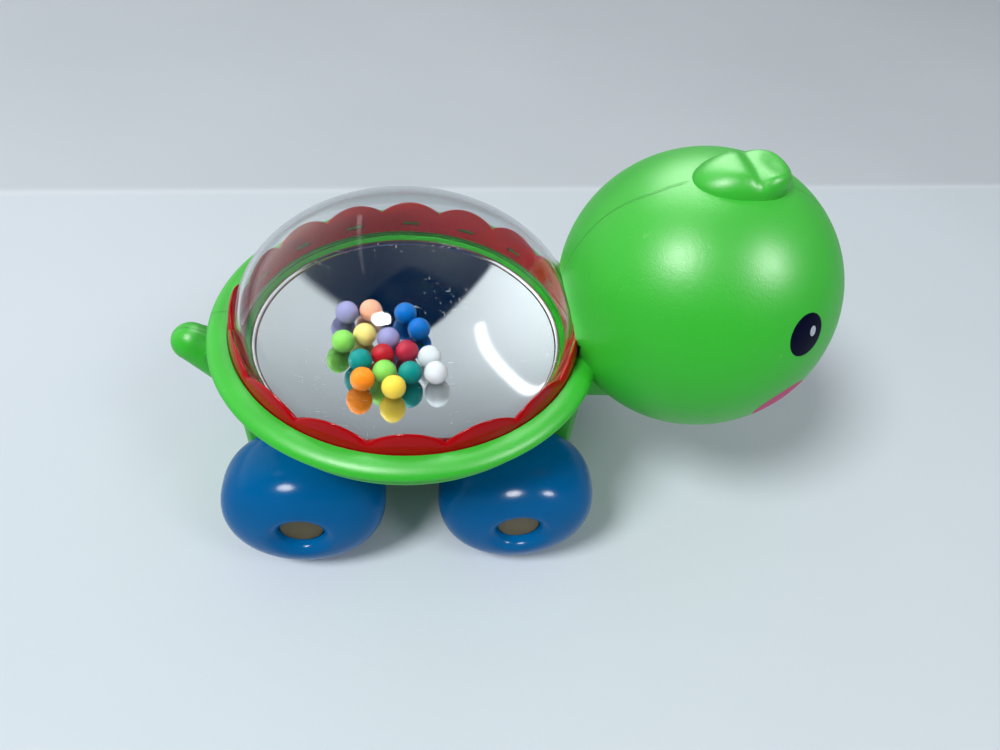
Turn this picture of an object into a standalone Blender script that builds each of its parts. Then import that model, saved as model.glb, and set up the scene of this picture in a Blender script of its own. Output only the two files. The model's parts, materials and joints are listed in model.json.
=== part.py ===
"""Push-along popping turtle, a rolling baby toy.

A hollow green body in two halves carries a clear dome, a scalloped collar and a mirror dish with
loose balls in it. Two axles turn with their fat wheels. A star on the rear axle kicks a rocker,
and the rocker lifts a plunger through the middle of the dish, which makes the balls pop.

Metres, +Z up, +X towards the head, origin on the floor under the middle of the toy.
"""
import math

import bmesh
import bpy
from mathutils import Matrix

MM = 0.001

# Clearances and walls
FIT_GAP = 0.3 * MM
SEAM_GAP = 0.3 * MM
RUNNING_GAP = 0.5 * MM
WALL = 2.4 * MM
MERGE = 0.0005 * MM

# Wheels, axles and hub caps
WHEEL_RADIUS = 27.5 * MM
WHEEL_CROWN_Y = 34.6 * MM
WHEEL_OUTER_DEPTH = 17.4 * MM
WHEEL_INNER_DEPTH = 13.2 * MM
WHEEL_ROUNDNESS = 2.6
WHEEL_CORE_RADIUS = 16.5 * MM
WHEEL_CORE_DEPTH = 12.0 * MM
WHEEL_BOSS_RADIUS = 6.0 * MM
WELL_GAP = 3.0 * MM
HUB_RADIUS = 7.6 * MM
HUB_RECESS = 1.4 * MM
DIP_RADIUS = 12.5 * MM
DIP_DEPTH = 1.9 * MM
CAP_THICKNESS = 3.0 * MM
CAP_SOCKET_DEPTH = 1.6 * MM
AXLE_RADIUS = 2.0 * MM

# Axis of the dome, and the axles before and behind it
SHELL_X = -29.5 * MM
REAR_AXLE_OFFSET = 34.8 * MM
FRONT_AXLE_OFFSET = 37.6 * MM

# Deck: the height of the collar's valleys over the axles, and the egg-shaped rolled rim round it
DECK_RISE = 55.4 * MM
RIM_RADIUS = 58.2 * MM
RIM_REACH = 4.9 * MM
RIM_CROWN = 5.4 * MM
RIM_UNDER = 2.0 * MM
RIM_DROP = 5.4 * MM

# Dome
DOME_RADIUS = 53.8 * MM
DOME_HEIGHT = 29.7 * MM
DOME_SPRING = 0.2 * MM
DOME_WALL = 1.6 * MM
DOME_FLANGE_WIDTH = 1.6 * MM
DOME_FLANGE_THICKNESS = 1.3 * MM
DOME_FLANGE_DROP = 10.6 * MM
DOME_HEADROOM = 0.8 * MM

# Collar
SCALLOPS = 16
STEPS_PER_SCALLOP = 4
COLLAR_SEAT_DROP = 1.0 * MM
COLLAR_WIDTH = 3.7 * MM
COLLAR_SLACK = 0.2 * MM
COLLAR_PEAK = 2.4 * MM
COLLAR_VALLEY_SETBACK = 1.6 * MM
COLLAR_EDGE = 0.8 * MM
COLLAR_LEGS = 4
LEG_LENGTH = 5.5 * MM
LEG_WIDTH = 6.0 * MM
LEG_THICKNESS = 0.8 * MM

# Mirror dish
DISH_RIM_DROP = 9.1 * MM
DISH_ROLL = 0.9 * MM
DISH_DEPTH = 13.8 * MM
DISH_WALL = 1.0 * MM
LEDGE_DROP = 13.7 * MM
LEDGE_THICKNESS = 2.6 * MM
LEDGE_WIDTH = 4.6 * MM

# Bowl under the rim: radius and drop below the collar's valleys, from the rim down
BOWL_SHOULDER_RADIUS = 58.4 * MM
BOWL_SHOULDER_DROP = 9.5 * MM
BOWL_SIDE_RADIUS = 58.2 * MM
BOWL_SIDE_DROP = 14.5 * MM
BOWL_TURN_RADIUS = 48.0 * MM
BOWL_TURN_DROP = 24.0 * MM
BOWL_FLOOR_RADIUS = 36.0 * MM

# Chassis between the wheels
CHASSIS_HALF_WIDTH = 20.0 * MM
CHASSIS_REAR_REACH = 53.0 * MM
CHASSIS_FRONT_REACH = 59.0 * MM
CHASSIS_CORNER = 5.0 * MM
CHASSIS_TOP_DROP = 14.5 * MM
WELL_BITE = 0.4 * MM

# Head, neck, crest and tail
HEAD_RADIUS = 44.6 * MM
HEAD_REACH = 92.4 * MM
HEAD_RISE = 11.3 * MM
NECK_RADIUS = 17.0 * MM
NECK_DROP = 16.4 * MM
CREST_LEAN = math.radians(5.3)
CREST_WIDTH = 9.6 * MM
CREST_REAR_OFFSET = -4.4 * MM
CREST_REAR_LENGTH = 10.6 * MM
CREST_REAR_PROUD = 5.4 * MM
CREST_FRONT_OFFSET = 6.6 * MM
CREST_FRONT_LENGTH = 9.6 * MM
CREST_FRONT_PROUD = 5.6 * MM
CREST_SINK = 4.0 * MM
TAIL_RADIUS = 7.9 * MM
TAIL_REACH = 77.0 * MM
TAIL_DROP = 16.9 * MM
TAIL_ROOT_RADIUS = 8.8 * MM

# Popping gear
STAR_POINTS = 4
STAR_TIP_RADIUS = 10.3 * MM
STAR_HOLLOW_RADIUS = 5.6 * MM
STAR_WIDTH = 8.0 * MM
ROCKER_PIVOT_OFFSET = 30.0 * MM
ROCKER_WIDTH = 10.0 * MM
ROCKER_THICKNESS = 3.0 * MM
ROCKER_EYE_RADIUS = 4.0 * MM
ROCKER_TAIL = 11.0 * MM
ROCKER_BUMP = 0.8 * MM
ROCKER_TILT = math.radians(6.0)
PIN_RADIUS = 1.5 * MM
PLUNGER_RADIUS = 8.0 * MM
PLUNGER_THICKNESS = 2.0 * MM
STEM_RADIUS = 3.0 * MM
GUIDE_HALF_LENGTH = 7.0 * MM
GUIDE_CLEARANCE = 1.6 * MM

# Balls, at places counted in ball pitches from the middle of the dish
BALL_RADIUS = 3.8 * MM
BALL_SPACING = 0.5 * MM
BALLS = (
    ("crimson", -0.1, 0.0),
    ("lavender", -0.9, 0.7),
    ("red", -1.1, -0.3),
    ("white", 0.85, -0.35),
    ("blue", 0.4, 1.3),
    ("teal", 0.05, -1.3),
    ("light_green", -1.0, -1.3),
    ("white", 1.1, -1.35),
    ("cream", -1.9, 0.8),
    ("teal", -2.0, -0.75),
    ("blue", -0.2, 2.15),
    ("yellow", -0.6, -2.25),
    ("peach", -1.7, 2.15),
    ("orange", -1.85, -1.9),
    ("light_green", -2.75, 0.2),
    ("lavender", -2.7, 1.85),
)

# Screws that hold the halves together, driven from the left side
SCREW_RADIUS = 1.5 * MM
SCREW_HEAD_RADIUS = 3.0 * MM
SCREW_HEAD_HEIGHT = 2.0 * MM
SCREW_GRIP = 4.5 * MM
SCREW_BITE = 7.0 * MM
BOSS_RADIUS = 5.4 * MM
HEAD_SCREW_OFFSET = 8.0 * MM
HEAD_SCREW_SPREAD = 24.0 * MM
TAIL_SCREW_REACH = 61.0 * MM
CHASSIS_SCREW_OFFSET = 1.4 * MM
CHASSIS_SCREW_DROP = 2.0 * MM

# Facets, with wheel steps two past a multiple of four so that a wheel stands on a facet,
# and the angles at which an edge is dissolved or left sharp
ROUND_STEPS = 40
DOME_RINGS = 6
BEAD_STEPS = 6
DISH_RINGS = 4
ROLL_STEPS = 4
WHEEL_STEPS = 22
TREAD_RINGS = 5
SMALL_STEPS = 12
TAIL_STEPS = 20
TAIL_RINGS = 4
CORNER_STEPS = 4
HEAD_SEGMENTS = 32
HEAD_RINGS = 16
CREST_SEGMENTS = 16
CREST_RINGS = 6
STEPS_PER_STAR_POINT = 8
BALL_SEGMENTS = 10
BALL_RINGS = 6
FLAT_ANGLE = math.radians(0.2)
SHARP_ANGLE = math.radians(32)

# Heights and places worked out from the sizes above
AXLE_Z = WHEEL_RADIUS * math.cos(math.pi / WHEEL_STEPS)
DECK_Z = AXLE_Z + DECK_RISE
REAR_AXLE_X = SHELL_X - REAR_AXLE_OFFSET
FRONT_AXLE_X = SHELL_X + FRONT_AXLE_OFFSET
HEAD_X = SHELL_X + HEAD_REACH
HEAD_Z = DECK_Z + HEAD_RISE
RIM_Z = DECK_Z - RIM_DROP
SHELF_Z = DECK_Z - COLLAR_SEAT_DROP
COLLAR_INNER = DOME_RADIUS + FIT_GAP + COLLAR_SLACK
COLLAR_OUTER = COLLAR_INNER + COLLAR_WIDTH
SHELF_RADIUS = COLLAR_OUTER + FIT_GAP
FLANGE_RADIUS = DOME_RADIUS + DOME_FLANGE_WIDTH
FLANGE_SEAT_Z = DECK_Z - DOME_FLANGE_DROP
FLANGE_TOP_Z = FLANGE_SEAT_Z + FIT_GAP + DOME_FLANGE_THICKNESS
BORE_RADIUS = DOME_RADIUS + FIT_GAP
LEDGE_Z = DECK_Z - LEDGE_DROP
LEDGE_RADIUS = BORE_RADIUS - LEDGE_WIDTH
DISH_RADIUS = DOME_RADIUS - DOME_WALL - FIT_GAP
DISH_TOP_Z = DECK_Z - DISH_RIM_DROP
DISH_LIP_RADIUS = DISH_RADIUS - 2 * DISH_ROLL
DISH_BOTTOM_Z = DISH_TOP_Z - DISH_ROLL - DISH_DEPTH
DISH_SPHERE = (DISH_LIP_RADIUS ** 2 + DISH_DEPTH ** 2) / (2 * DISH_DEPTH)
DISH_CENTRE_Z = DISH_BOTTOM_Z + DISH_SPHERE
STAR_TOP_Z = AXLE_Z + STAR_TIP_RADIUS
ROCKER_BOTTOM_Z = STAR_TOP_Z + RUNNING_GAP
ROCKER_TOP_Z = ROCKER_BOTTOM_Z + ROCKER_THICKNESS
PIVOT_X = SHELL_X + ROCKER_PIVOT_OFFSET
PIVOT_Z = (ROCKER_BOTTOM_Z + ROCKER_TOP_Z) / 2
PLUNGER_LIFT = ROCKER_PIVOT_OFFSET * ROCKER_TILT
STEM_BOTTOM_Z = ROCKER_TOP_Z + ROCKER_BUMP + FIT_GAP
GUIDE_Z = STEM_BOTTOM_Z + PLUNGER_LIFT + GUIDE_CLEARANCE
CAVITY_FLOOR_Z = GUIDE_Z + WALL
CHASSIS_FLOOR_Z = AXLE_Z - STAR_TIP_RADIUS - 2 * RUNNING_GAP
CHASSIS_BOTTOM_Z = CHASSIS_FLOOR_Z - WALL
CHASSIS_TOP_Z = DECK_Z - CHASSIS_TOP_DROP
BALL_PITCH = 2 * BALL_RADIUS + BALL_SPACING
DIP_Y = WHEEL_CROWN_Y + WHEEL_OUTER_DEPTH * (1 - (DIP_RADIUS / WHEEL_RADIUS) ** WHEEL_ROUNDNESS) ** (
    1 / WHEEL_ROUNDNESS)
HUB_FACE_Y = DIP_Y - DIP_DEPTH
CAP_OUTER_Y = HUB_FACE_Y - HUB_RECESS
CAP_INNER_Y = CAP_OUTER_Y - CAP_THICKNESS
HUB_FLOOR_Y = CAP_INNER_Y - FIT_GAP
AXLE_END_Y = CAP_INNER_Y + CAP_SOCKET_DEPTH - FIT_GAP
FAR = 2 * HEAD_RADIUS


def clear_scene():
    for item in list(bpy.data.objects):
        bpy.data.objects.remove(item, do_unlink=True)


def plastic(name, colour, roughness, metallic=0.0, clear=0.0):
    """A Principled material; colour is linear RGB."""
    material = bpy.data.materials.new(name)
    material.use_nodes = True
    shader = material.node_tree.nodes["Principled BSDF"]
    shader.inputs["Base Color"].default_value = (*colour, 1.0)
    shader.inputs["Roughness"].default_value = roughness
    shader.inputs["Metallic"].default_value = metallic
    shader.inputs["Transmission Weight"].default_value = clear
    return material


def add_object(name, bm, material=None, parent=None):
    """Close a bmesh into a named object, smooth apart from its sharp edges."""
    bmesh.ops.remove_doubles(bm, verts=bm.verts, dist=MERGE)
    bmesh.ops.dissolve_limit(bm, angle_limit=FLAT_ANGLE, verts=bm.verts, edges=bm.edges)
    bmesh.ops.recalc_face_normals(bm, faces=bm.faces)
    mesh = bpy.data.meshes.new(name)
    bm.to_mesh(mesh)
    bm.free()
    mesh.shade_smooth()
    mesh.set_sharp_from_angle(angle=SHARP_ANGLE)
    if material:
        mesh.materials.append(material)
    item = bpy.data.objects.new(name, mesh)
    bpy.context.scene.collection.objects.link(item)
    item.parent = parent
    return item


def guide(name, bm):
    """A cutter or a building block, which is not a piece of the toy."""
    item = add_object(name, bm)
    item.hide_render = True
    item.display_type = "WIRE"
    return item


def combine(target, operand, operation):
    step = target.modifiers.new(operation.lower() + "_" + operand.name, "BOOLEAN")
    step.operation = operation
    step.solver = "EXACT"
    step.object = operand


def pivot(name, x, z):
    """An empty on a joint's axis."""
    item = bpy.data.objects.new(name, None)
    item.location = (x, 0.0, z)
    bpy.context.scene.collection.objects.link(item)
    return item


def arc(centre_r, centre_z, radius, start, end, steps):
    """Points of an arc in a profile, angles in degrees from the outward direction."""
    points = []
    for k in range(steps + 1):
        angle = math.radians(start + (end - start) * k / steps)
        points.append((centre_r + radius * math.cos(angle), centre_z + radius * math.sin(angle)))
    return points


def turned(profile, steps, centre=(0.0, 0.0, 0.0), along_y=False, bm=None):
    """Spin a closed profile of (radius, height) points round Z, or round Y."""
    bm = bm or bmesh.new()
    if along_y:
        corners = [bm.verts.new((centre[0] + r, centre[1] + h, centre[2])) for r, h in profile]
        axis = (0.0, 1.0, 0.0)
    else:
        corners = [bm.verts.new((centre[0] + r, centre[1], centre[2] + h)) for r, h in profile]
        axis = (0.0, 0.0, 1.0)
    edges = [bm.edges.new((a, b)) for a, b in zip(corners, corners[1:])]
    if profile[0][0] > 0 or profile[-1][0] > 0:
        edges.append(bm.edges.new((corners[-1], corners[0])))
    bmesh.ops.spin(bm, geom=corners + edges, cent=centre, axis=axis, angle=2 * math.pi,
                   steps=steps, use_merge=True)
    bmesh.ops.remove_doubles(bm, verts=bm.verts, dist=MERGE)
    return bm


def rod(radius, y0, y1, x=0.0, z=0.0, steps=SMALL_STEPS, bm=None):
    """A round bar along Y."""
    profile = [(0.0, y0), (radius, y0), (radius, y1), (0.0, y1)]
    return turned(profile, steps, (x, 0.0, z), along_y=True, bm=bm)


def block(x0, x1, y0, y1, z0, z1, bm=None):
    bm = bm or bmesh.new()
    place = Matrix.Translation(((x0 + x1) / 2, (y0 + y1) / 2, (z0 + z1) / 2))
    size = Matrix.Diagonal((x1 - x0, y1 - y0, z1 - z0, 1.0))
    bmesh.ops.create_cube(bm, size=1.0, matrix=place @ size)
    return bm


def rounded_block(x0, x1, half_width, z0, z1, corner):
    """A block across the middle plane whose upright edges are rounded."""
    bm = block(x0, x1, -half_width, half_width, z0, z1)
    upright = [e for e in bm.edges if abs(e.verts[0].co.z - e.verts[1].co.z) > corner]
    bmesh.ops.bevel(bm, geom=upright, offset=corner, segments=CORNER_STEPS, profile=0.5,
                    affect="EDGES", material=-1)
    return bm


def ball(radius, centre, segments, rings, stretch=(1.0, 1.0, 1.0), bm=None):
    """A sphere or ellipsoid whose poles lie on Y, so that its rings follow the seam."""
    bm = bm or bmesh.new()
    turn = Matrix.Rotation(math.pi / 2, 4, "X")
    place = Matrix.Translation(centre) @ Matrix.Diagonal((*stretch, 1.0)) @ turn
    bmesh.ops.create_uvsphere(bm, u_segments=segments, v_segments=rings, radius=radius, matrix=place)
    return bm


def plate(outline, half_width):
    """A plate across the middle plane from an outline of (x, z) points."""
    bm = bmesh.new()
    face = bm.faces.new([bm.verts.new((x, -half_width, z)) for x, z in outline])
    raised = bmesh.ops.extrude_face_region(bm, geom=[face])["geom"]
    corners = [v for v in raised if isinstance(v, bmesh.types.BMVert)]
    bmesh.ops.translate(bm, verts=corners, vec=(0.0, 2 * half_width, 0.0))
    return bm


def screw_places():
    """Where each screw stands, as (name, x, z)."""
    return (
        ("screw_head_top", HEAD_X + HEAD_SCREW_OFFSET, HEAD_Z + HEAD_SCREW_SPREAD),
        ("screw_head_chin", HEAD_X + HEAD_SCREW_OFFSET, HEAD_Z - HEAD_SCREW_SPREAD),
        ("screw_tail", SHELL_X - TAIL_SCREW_REACH, DECK_Z - TAIL_DROP),
        ("screw_chassis", SHELL_X + CHASSIS_SCREW_OFFSET, AXLE_Z - CHASSIS_SCREW_DROP),
    )


def rim_curve():
    """Points of the rim's egg-shaped half section, from its underside to its crown."""
    points = []
    for k in range(BEAD_STEPS + 1):
        angle = math.pi * (k / BEAD_STEPS - 0.5)
        depth = RIM_CROWN if angle > 0 else RIM_UNDER
        points.append((RIM_RADIUS + RIM_REACH * math.cos(angle), RIM_Z + depth * math.sin(angle)))
    return points


def deck_solid():
    """The rolled rim and the bowl under it, turned as one solid."""
    profile = [(0.0, GUIDE_Z), (BOWL_FLOOR_RADIUS, GUIDE_Z)]
    profile.append((BOWL_TURN_RADIUS, DECK_Z - BOWL_TURN_DROP))
    profile.append((BOWL_SIDE_RADIUS, DECK_Z - BOWL_SIDE_DROP))
    profile.append((BOWL_SHOULDER_RADIUS, DECK_Z - BOWL_SHOULDER_DROP))
    profile += rim_curve()
    profile.append((0.0, RIM_Z + RIM_CROWN))
    return guide("deck_solid", turned(profile, ROUND_STEPS, (SHELL_X, 0.0, 0.0)))


def shell_cavity():
    """The room in the bowl, the seats of dish, dome and collar, and the room for the dome."""
    profile = [(0.0, CAVITY_FLOOR_Z), (BOWL_FLOOR_RADIUS - WALL, CAVITY_FLOOR_Z)]
    profile.append((BOWL_TURN_RADIUS - WALL, DECK_Z - BOWL_TURN_DROP + WALL / 2))
    profile.append((BOWL_SIDE_RADIUS - 2 * WALL, LEDGE_Z - LEDGE_THICKNESS))
    profile.append((LEDGE_RADIUS, LEDGE_Z - LEDGE_THICKNESS))
    profile.append((LEDGE_RADIUS, LEDGE_Z))
    profile.append((BORE_RADIUS, LEDGE_Z))
    profile.append((BORE_RADIUS, FLANGE_SEAT_Z))
    profile.append((FLANGE_RADIUS + FIT_GAP, FLANGE_SEAT_Z))
    profile.append((FLANGE_RADIUS + FIT_GAP, SHELF_Z))
    profile.append((SHELF_RADIUS, SHELF_Z))
    collar_top = DECK_Z + COLLAR_PEAK + 2 * FIT_GAP
    profile.append((SHELF_RADIUS, collar_top))
    profile += vault(DOME_RADIUS + DOME_HEADROOM, DOME_HEIGHT + DOME_HEADROOM)[1:]
    cavity = guide("shell_cavity", turned(profile, ROUND_STEPS, (SHELL_X, 0.0, 0.0)))
    combine(cavity, wheel_wells("well_walls", WALL), "DIFFERENCE")
    return cavity


def wheel_wells(name, growth):
    """The four round wells over the wheels, grown by a wall where the wall itself is wanted."""
    bm = bmesh.new()
    inner = CHASSIS_HALF_WIDTH - WELL_BITE - growth
    for axle_x in (REAR_AXLE_X, FRONT_AXLE_X):
        for side in (-1, 1):
            near, far = sorted((side * inner, side * (FAR - growth)))
            rod(WHEEL_RADIUS + WELL_GAP + growth, near, far, axle_x, AXLE_Z, WHEEL_STEPS, bm)
    return guide(name, bm)


def chassis_cavity():
    """The room for the popping gear, crossed by the plunger's guide and a screw boss."""
    rear = SHELL_X - CHASSIS_REAR_REACH + WALL
    front = SHELL_X + CHASSIS_FRONT_REACH - WALL
    room = rounded_block(rear, front, CHASSIS_HALF_WIDTH - WALL, CHASSIS_FLOOR_Z, CHASSIS_TOP_Z - WALL,
                         CHASSIS_CORNER - WALL)
    cavity = guide("chassis_cavity", room)
    bridge = block(SHELL_X - GUIDE_HALF_LENGTH, SHELL_X + GUIDE_HALF_LENGTH, -FAR, FAR,
                   GUIDE_Z, CAVITY_FLOOR_Z)
    combine(cavity, guide("guide_bridge", bridge), "DIFFERENCE")
    name, x, z = screw_places()[3]
    combine(cavity, guide(name + "_boss", rod(BOSS_RADIUS, -FAR, FAR, x, z)), "DIFFERENCE")
    return cavity


def head_cavity():
    """The room in the head, kept off the dome's side and off two screw bosses."""
    room = ball(HEAD_RADIUS - WALL, (HEAD_X, 0.0, HEAD_Z), HEAD_SEGMENTS // 2, HEAD_RINGS // 2)
    cavity = guide("head_cavity", room)
    saddle_radius = SHELF_RADIUS + WALL
    low, high = HEAD_Z - FAR, HEAD_Z + FAR
    saddle = [(0.0, low), (saddle_radius, low), (saddle_radius, high), (0.0, high)]
    combine(cavity, guide("saddle_wall", turned(saddle, ROUND_STEPS, (SHELL_X, 0.0, 0.0))), "DIFFERENCE")
    for name, x, z in screw_places()[:2]:
        combine(cavity, guide(name + "_boss", rod(BOSS_RADIUS, -FAR, FAR, x, z)), "DIFFERENCE")
    return cavity


def cross_holes():
    """Holes along Y for the axles and the rocker's pin, and the stepped screw holes."""
    bm = bmesh.new()
    reach = CHASSIS_HALF_WIDTH + WALL
    for axle_x in (REAR_AXLE_X, FRONT_AXLE_X):
        rod(AXLE_RADIUS + RUNNING_GAP, -reach, reach, axle_x, AXLE_Z, SMALL_STEPS, bm)
    rod(PIN_RADIUS + FIT_GAP, -reach, reach, PIVOT_X, PIVOT_Z, SMALL_STEPS, bm)
    for _, x, z in screw_places():
        narrow = SCREW_RADIUS + FIT_GAP
        wide = SCREW_HEAD_RADIUS + FIT_GAP
        profile = [(0.0, -SCREW_BITE - FIT_GAP), (narrow, -SCREW_BITE - FIT_GAP), (narrow, SCREW_GRIP),
                   (wide, SCREW_GRIP), (wide, FAR), (0.0, FAR)]
        turned(profile, SMALL_STEPS, (x, 0.0, z), along_y=True, bm=bm)
    return guide("cross_holes", bm)


def leg_places():
    """Angles of the collar's snap legs round the dome, clear of the seam."""
    return [2 * math.pi * (k + 0.5) / COLLAR_LEGS for k in range(COLLAR_LEGS)]


def collar_legs(name, growth):
    """The snap legs under the collar, or with growth the slots that take them."""
    bm = bmesh.new()
    outer = COLLAR_OUTER - FIT_GAP
    for angle in leg_places():
        leg = block(outer - LEG_THICKNESS - growth, outer + growth, -LEG_WIDTH / 2 - growth,
                    LEG_WIDTH / 2 + growth, SHELF_Z - LEG_LENGTH - growth, SHELF_Z + 2 * FIT_GAP)
        turn = Matrix.Translation((SHELL_X, 0.0, 0.0)) @ Matrix.Rotation(angle, 4, "Z")
        bmesh.ops.transform(leg, matrix=turn, verts=leg.verts)
        spare = bpy.data.meshes.new("leg")
        leg.to_mesh(spare)
        leg.free()
        bm.from_mesh(spare)
        bpy.data.meshes.remove(spare)
    return guide(name, bm)


def crest_lobe(name, offset, length, proud):
    """One lobe of the crest, which leans a little off the crown of the head."""
    crown = math.sqrt(HEAD_RADIUS ** 2 - offset ** 2)
    tall = proud + CREST_SINK
    place = (HEAD_X + offset, 0.0, HEAD_Z + crown - CREST_SINK)
    bm = ball(1.0, place, CREST_SEGMENTS, CREST_RINGS, (length, CREST_WIDTH, tall))
    lean = Matrix.Rotation(CREST_LEAN, 3, "X")
    bmesh.ops.rotate(bm, cent=(HEAD_X, 0.0, HEAD_Z), matrix=lean, verts=bm.verts)
    return guide(name, bm)


def body_solid():
    """The whole green body before it is split: deck, chassis, head, neck, crest and tail, hollowed."""
    body = deck_solid()
    chassis = rounded_block(SHELL_X - CHASSIS_REAR_REACH, SHELL_X + CHASSIS_FRONT_REACH, CHASSIS_HALF_WIDTH,
                            CHASSIS_BOTTOM_Z, CHASSIS_TOP_Z, CHASSIS_CORNER)
    combine(body, guide("chassis_solid", chassis), "UNION")
    neck = bmesh.new()
    neck_start = SHELL_X + RIM_RADIUS - RIM_REACH
    neck_length = HEAD_X - HEAD_RADIUS / 2 - neck_start
    neck_place = Matrix.Translation((neck_start + neck_length / 2, 0.0, DECK_Z - NECK_DROP))
    bmesh.ops.create_cone(neck, cap_ends=True, segments=TAIL_STEPS, radius1=NECK_RADIUS, radius2=NECK_RADIUS,
                          depth=neck_length, matrix=neck_place @ Matrix.Rotation(math.pi / 2, 4, "Y"))
    combine(body, guide("neck_solid", neck), "UNION")
    head = ball(HEAD_RADIUS, (HEAD_X, 0.0, HEAD_Z), HEAD_SEGMENTS, HEAD_RINGS)
    combine(body, guide("head_solid", head), "UNION")
    rear_lobe = crest_lobe("crest_rear", CREST_REAR_OFFSET, CREST_REAR_LENGTH, CREST_REAR_PROUD)
    combine(body, rear_lobe, "UNION")
    front_lobe = crest_lobe("crest_front", CREST_FRONT_OFFSET, CREST_FRONT_LENGTH, CREST_FRONT_PROUD)
    combine(body, front_lobe, "UNION")
    combine(body, tail_solid(), "UNION")
    combine(body, wheel_wells("wheel_wells", 0.0), "DIFFERENCE")
    combine(body, shell_cavity(), "DIFFERENCE")
    combine(body, chassis_cavity(), "DIFFERENCE")
    combine(body, head_cavity(), "DIFFERENCE")
    combine(body, cross_holes(), "DIFFERENCE")
    stem_hole = [(0.0, GUIDE_Z - WALL), (STEM_RADIUS + RUNNING_GAP, GUIDE_Z - WALL),
                 (STEM_RADIUS + RUNNING_GAP, CAVITY_FLOOR_Z + WALL), (0.0, CAVITY_FLOOR_Z + WALL)]
    combine(body, guide("stem_hole", turned(stem_hole, SMALL_STEPS, (SHELL_X, 0.0, 0.0))), "DIFFERENCE")
    combine(body, collar_legs("leg_slots", FIT_GAP), "DIFFERENCE")
    return body


def tail_solid():
    """The stubby tail: a rounded nub that widens into the rim."""
    root = RIM_RADIUS - RIM_REACH
    straight = TAIL_REACH - TAIL_RADIUS - root
    profile = [(0.0, 0.0), (TAIL_ROOT_RADIUS, 0.0), (TAIL_RADIUS, straight)]
    profile += arc(0.0, straight, TAIL_RADIUS, 0, 90, TAIL_RINGS)[1:-1]
    profile.append((0.0, straight + TAIL_RADIUS))
    bm = turned(profile, TAIL_STEPS)
    place = Matrix.Translation((SHELL_X - root, 0.0, DECK_Z - TAIL_DROP))
    bmesh.ops.transform(bm, matrix=place @ Matrix.Rotation(-math.pi / 2, 4, "Y"), verts=bm.verts)
    return guide("tail_solid", bm)


def body_halves(material):
    """Split the body on its middle plane into a right and a left half."""
    body = body_solid()
    for name, side in (("body_right_half", -1), ("body_left_half", 1)):
        near, far = sorted((side * SEAM_GAP / 2, side * FAR))
        half = add_object(name, block(-2 * FAR, 2 * FAR, near, far, -FAR, 3 * FAR), material)
        combine(half, body, "INTERSECT")


def vault(radius, height):
    """Points of the dome's curve from its spring line to the top."""
    points = []
    for k in range(DOME_RINGS):
        angle = math.pi / 2 * k / DOME_RINGS
        points.append((radius * math.cos(angle), DECK_Z + DOME_SPRING + height * math.sin(angle)))
    return points + [(0.0, DECK_Z + DOME_SPRING + height)]


def dome(material):
    """The clear dome with its straight skirt and the flange that the collar holds down."""
    foot_z = LEDGE_Z + FIT_GAP
    flange_z = FLANGE_SEAT_Z + FIT_GAP
    inner = DOME_RADIUS - DOME_WALL
    profile = vault(inner, DOME_HEIGHT - DOME_WALL)[::-1]
    profile += [(inner, foot_z), (DOME_RADIUS, foot_z), (DOME_RADIUS, flange_z), (FLANGE_RADIUS, flange_z)]
    profile += [(FLANGE_RADIUS, FLANGE_TOP_Z), (DOME_RADIUS, FLANGE_TOP_Z)]
    profile += vault(DOME_RADIUS, DOME_HEIGHT)
    add_object("dome", turned(profile, ROUND_STEPS, (SHELL_X, 0.0, 0.0)), material)


def scallop_collar(material):
    """The red collar: a skirt down to the dome's flange, and a brim that leans in in even scallops."""
    bm = bmesh.new()
    rings = []
    count = SCALLOPS * STEPS_PER_SCALLOP
    foot_z = FLANGE_TOP_Z + FIT_GAP
    seat_z = SHELF_Z + FIT_GAP
    brim_z = DECK_Z + COLLAR_EDGE / 2
    for k in range(count):
        angle = 2 * math.pi * (k / count + 0.5 / SCALLOPS)
        swell = abs(math.sin(math.pi * k / STEPS_PER_SCALLOP))
        edge = COLLAR_INNER + COLLAR_VALLEY_SETBACK * (1 - swell)
        crest_z = DECK_Z + COLLAR_EDGE / 2 + (COLLAR_PEAK - COLLAR_EDGE / 2) * swell
        section = [(COLLAR_INNER, foot_z), (FLANGE_RADIUS, foot_z), (FLANGE_RADIUS, seat_z)]
        section += [(COLLAR_OUTER, seat_z), (COLLAR_OUTER, brim_z - COLLAR_EDGE)]
        section += [(COLLAR_OUTER - COLLAR_EDGE / 2, brim_z - COLLAR_EDGE / 2)]
        section += [(edge + COLLAR_EDGE, crest_z), (edge, crest_z - COLLAR_EDGE / 2)]
        across, beside = math.cos(angle), math.sin(angle)
        rings.append([bm.verts.new((SHELL_X + r * across, r * beside, z)) for r, z in section])
    for ring, following in zip(rings, rings[1:] + rings[:1]):
        size = len(ring)
        for j in range(size):
            bm.faces.new((ring[j], ring[(j + 1) % size], following[(j + 1) % size], following[j]))
    piece = add_object("scallop_collar", bm, material)
    combine(piece, collar_legs("snap_legs", 0.0), "UNION")


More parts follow.
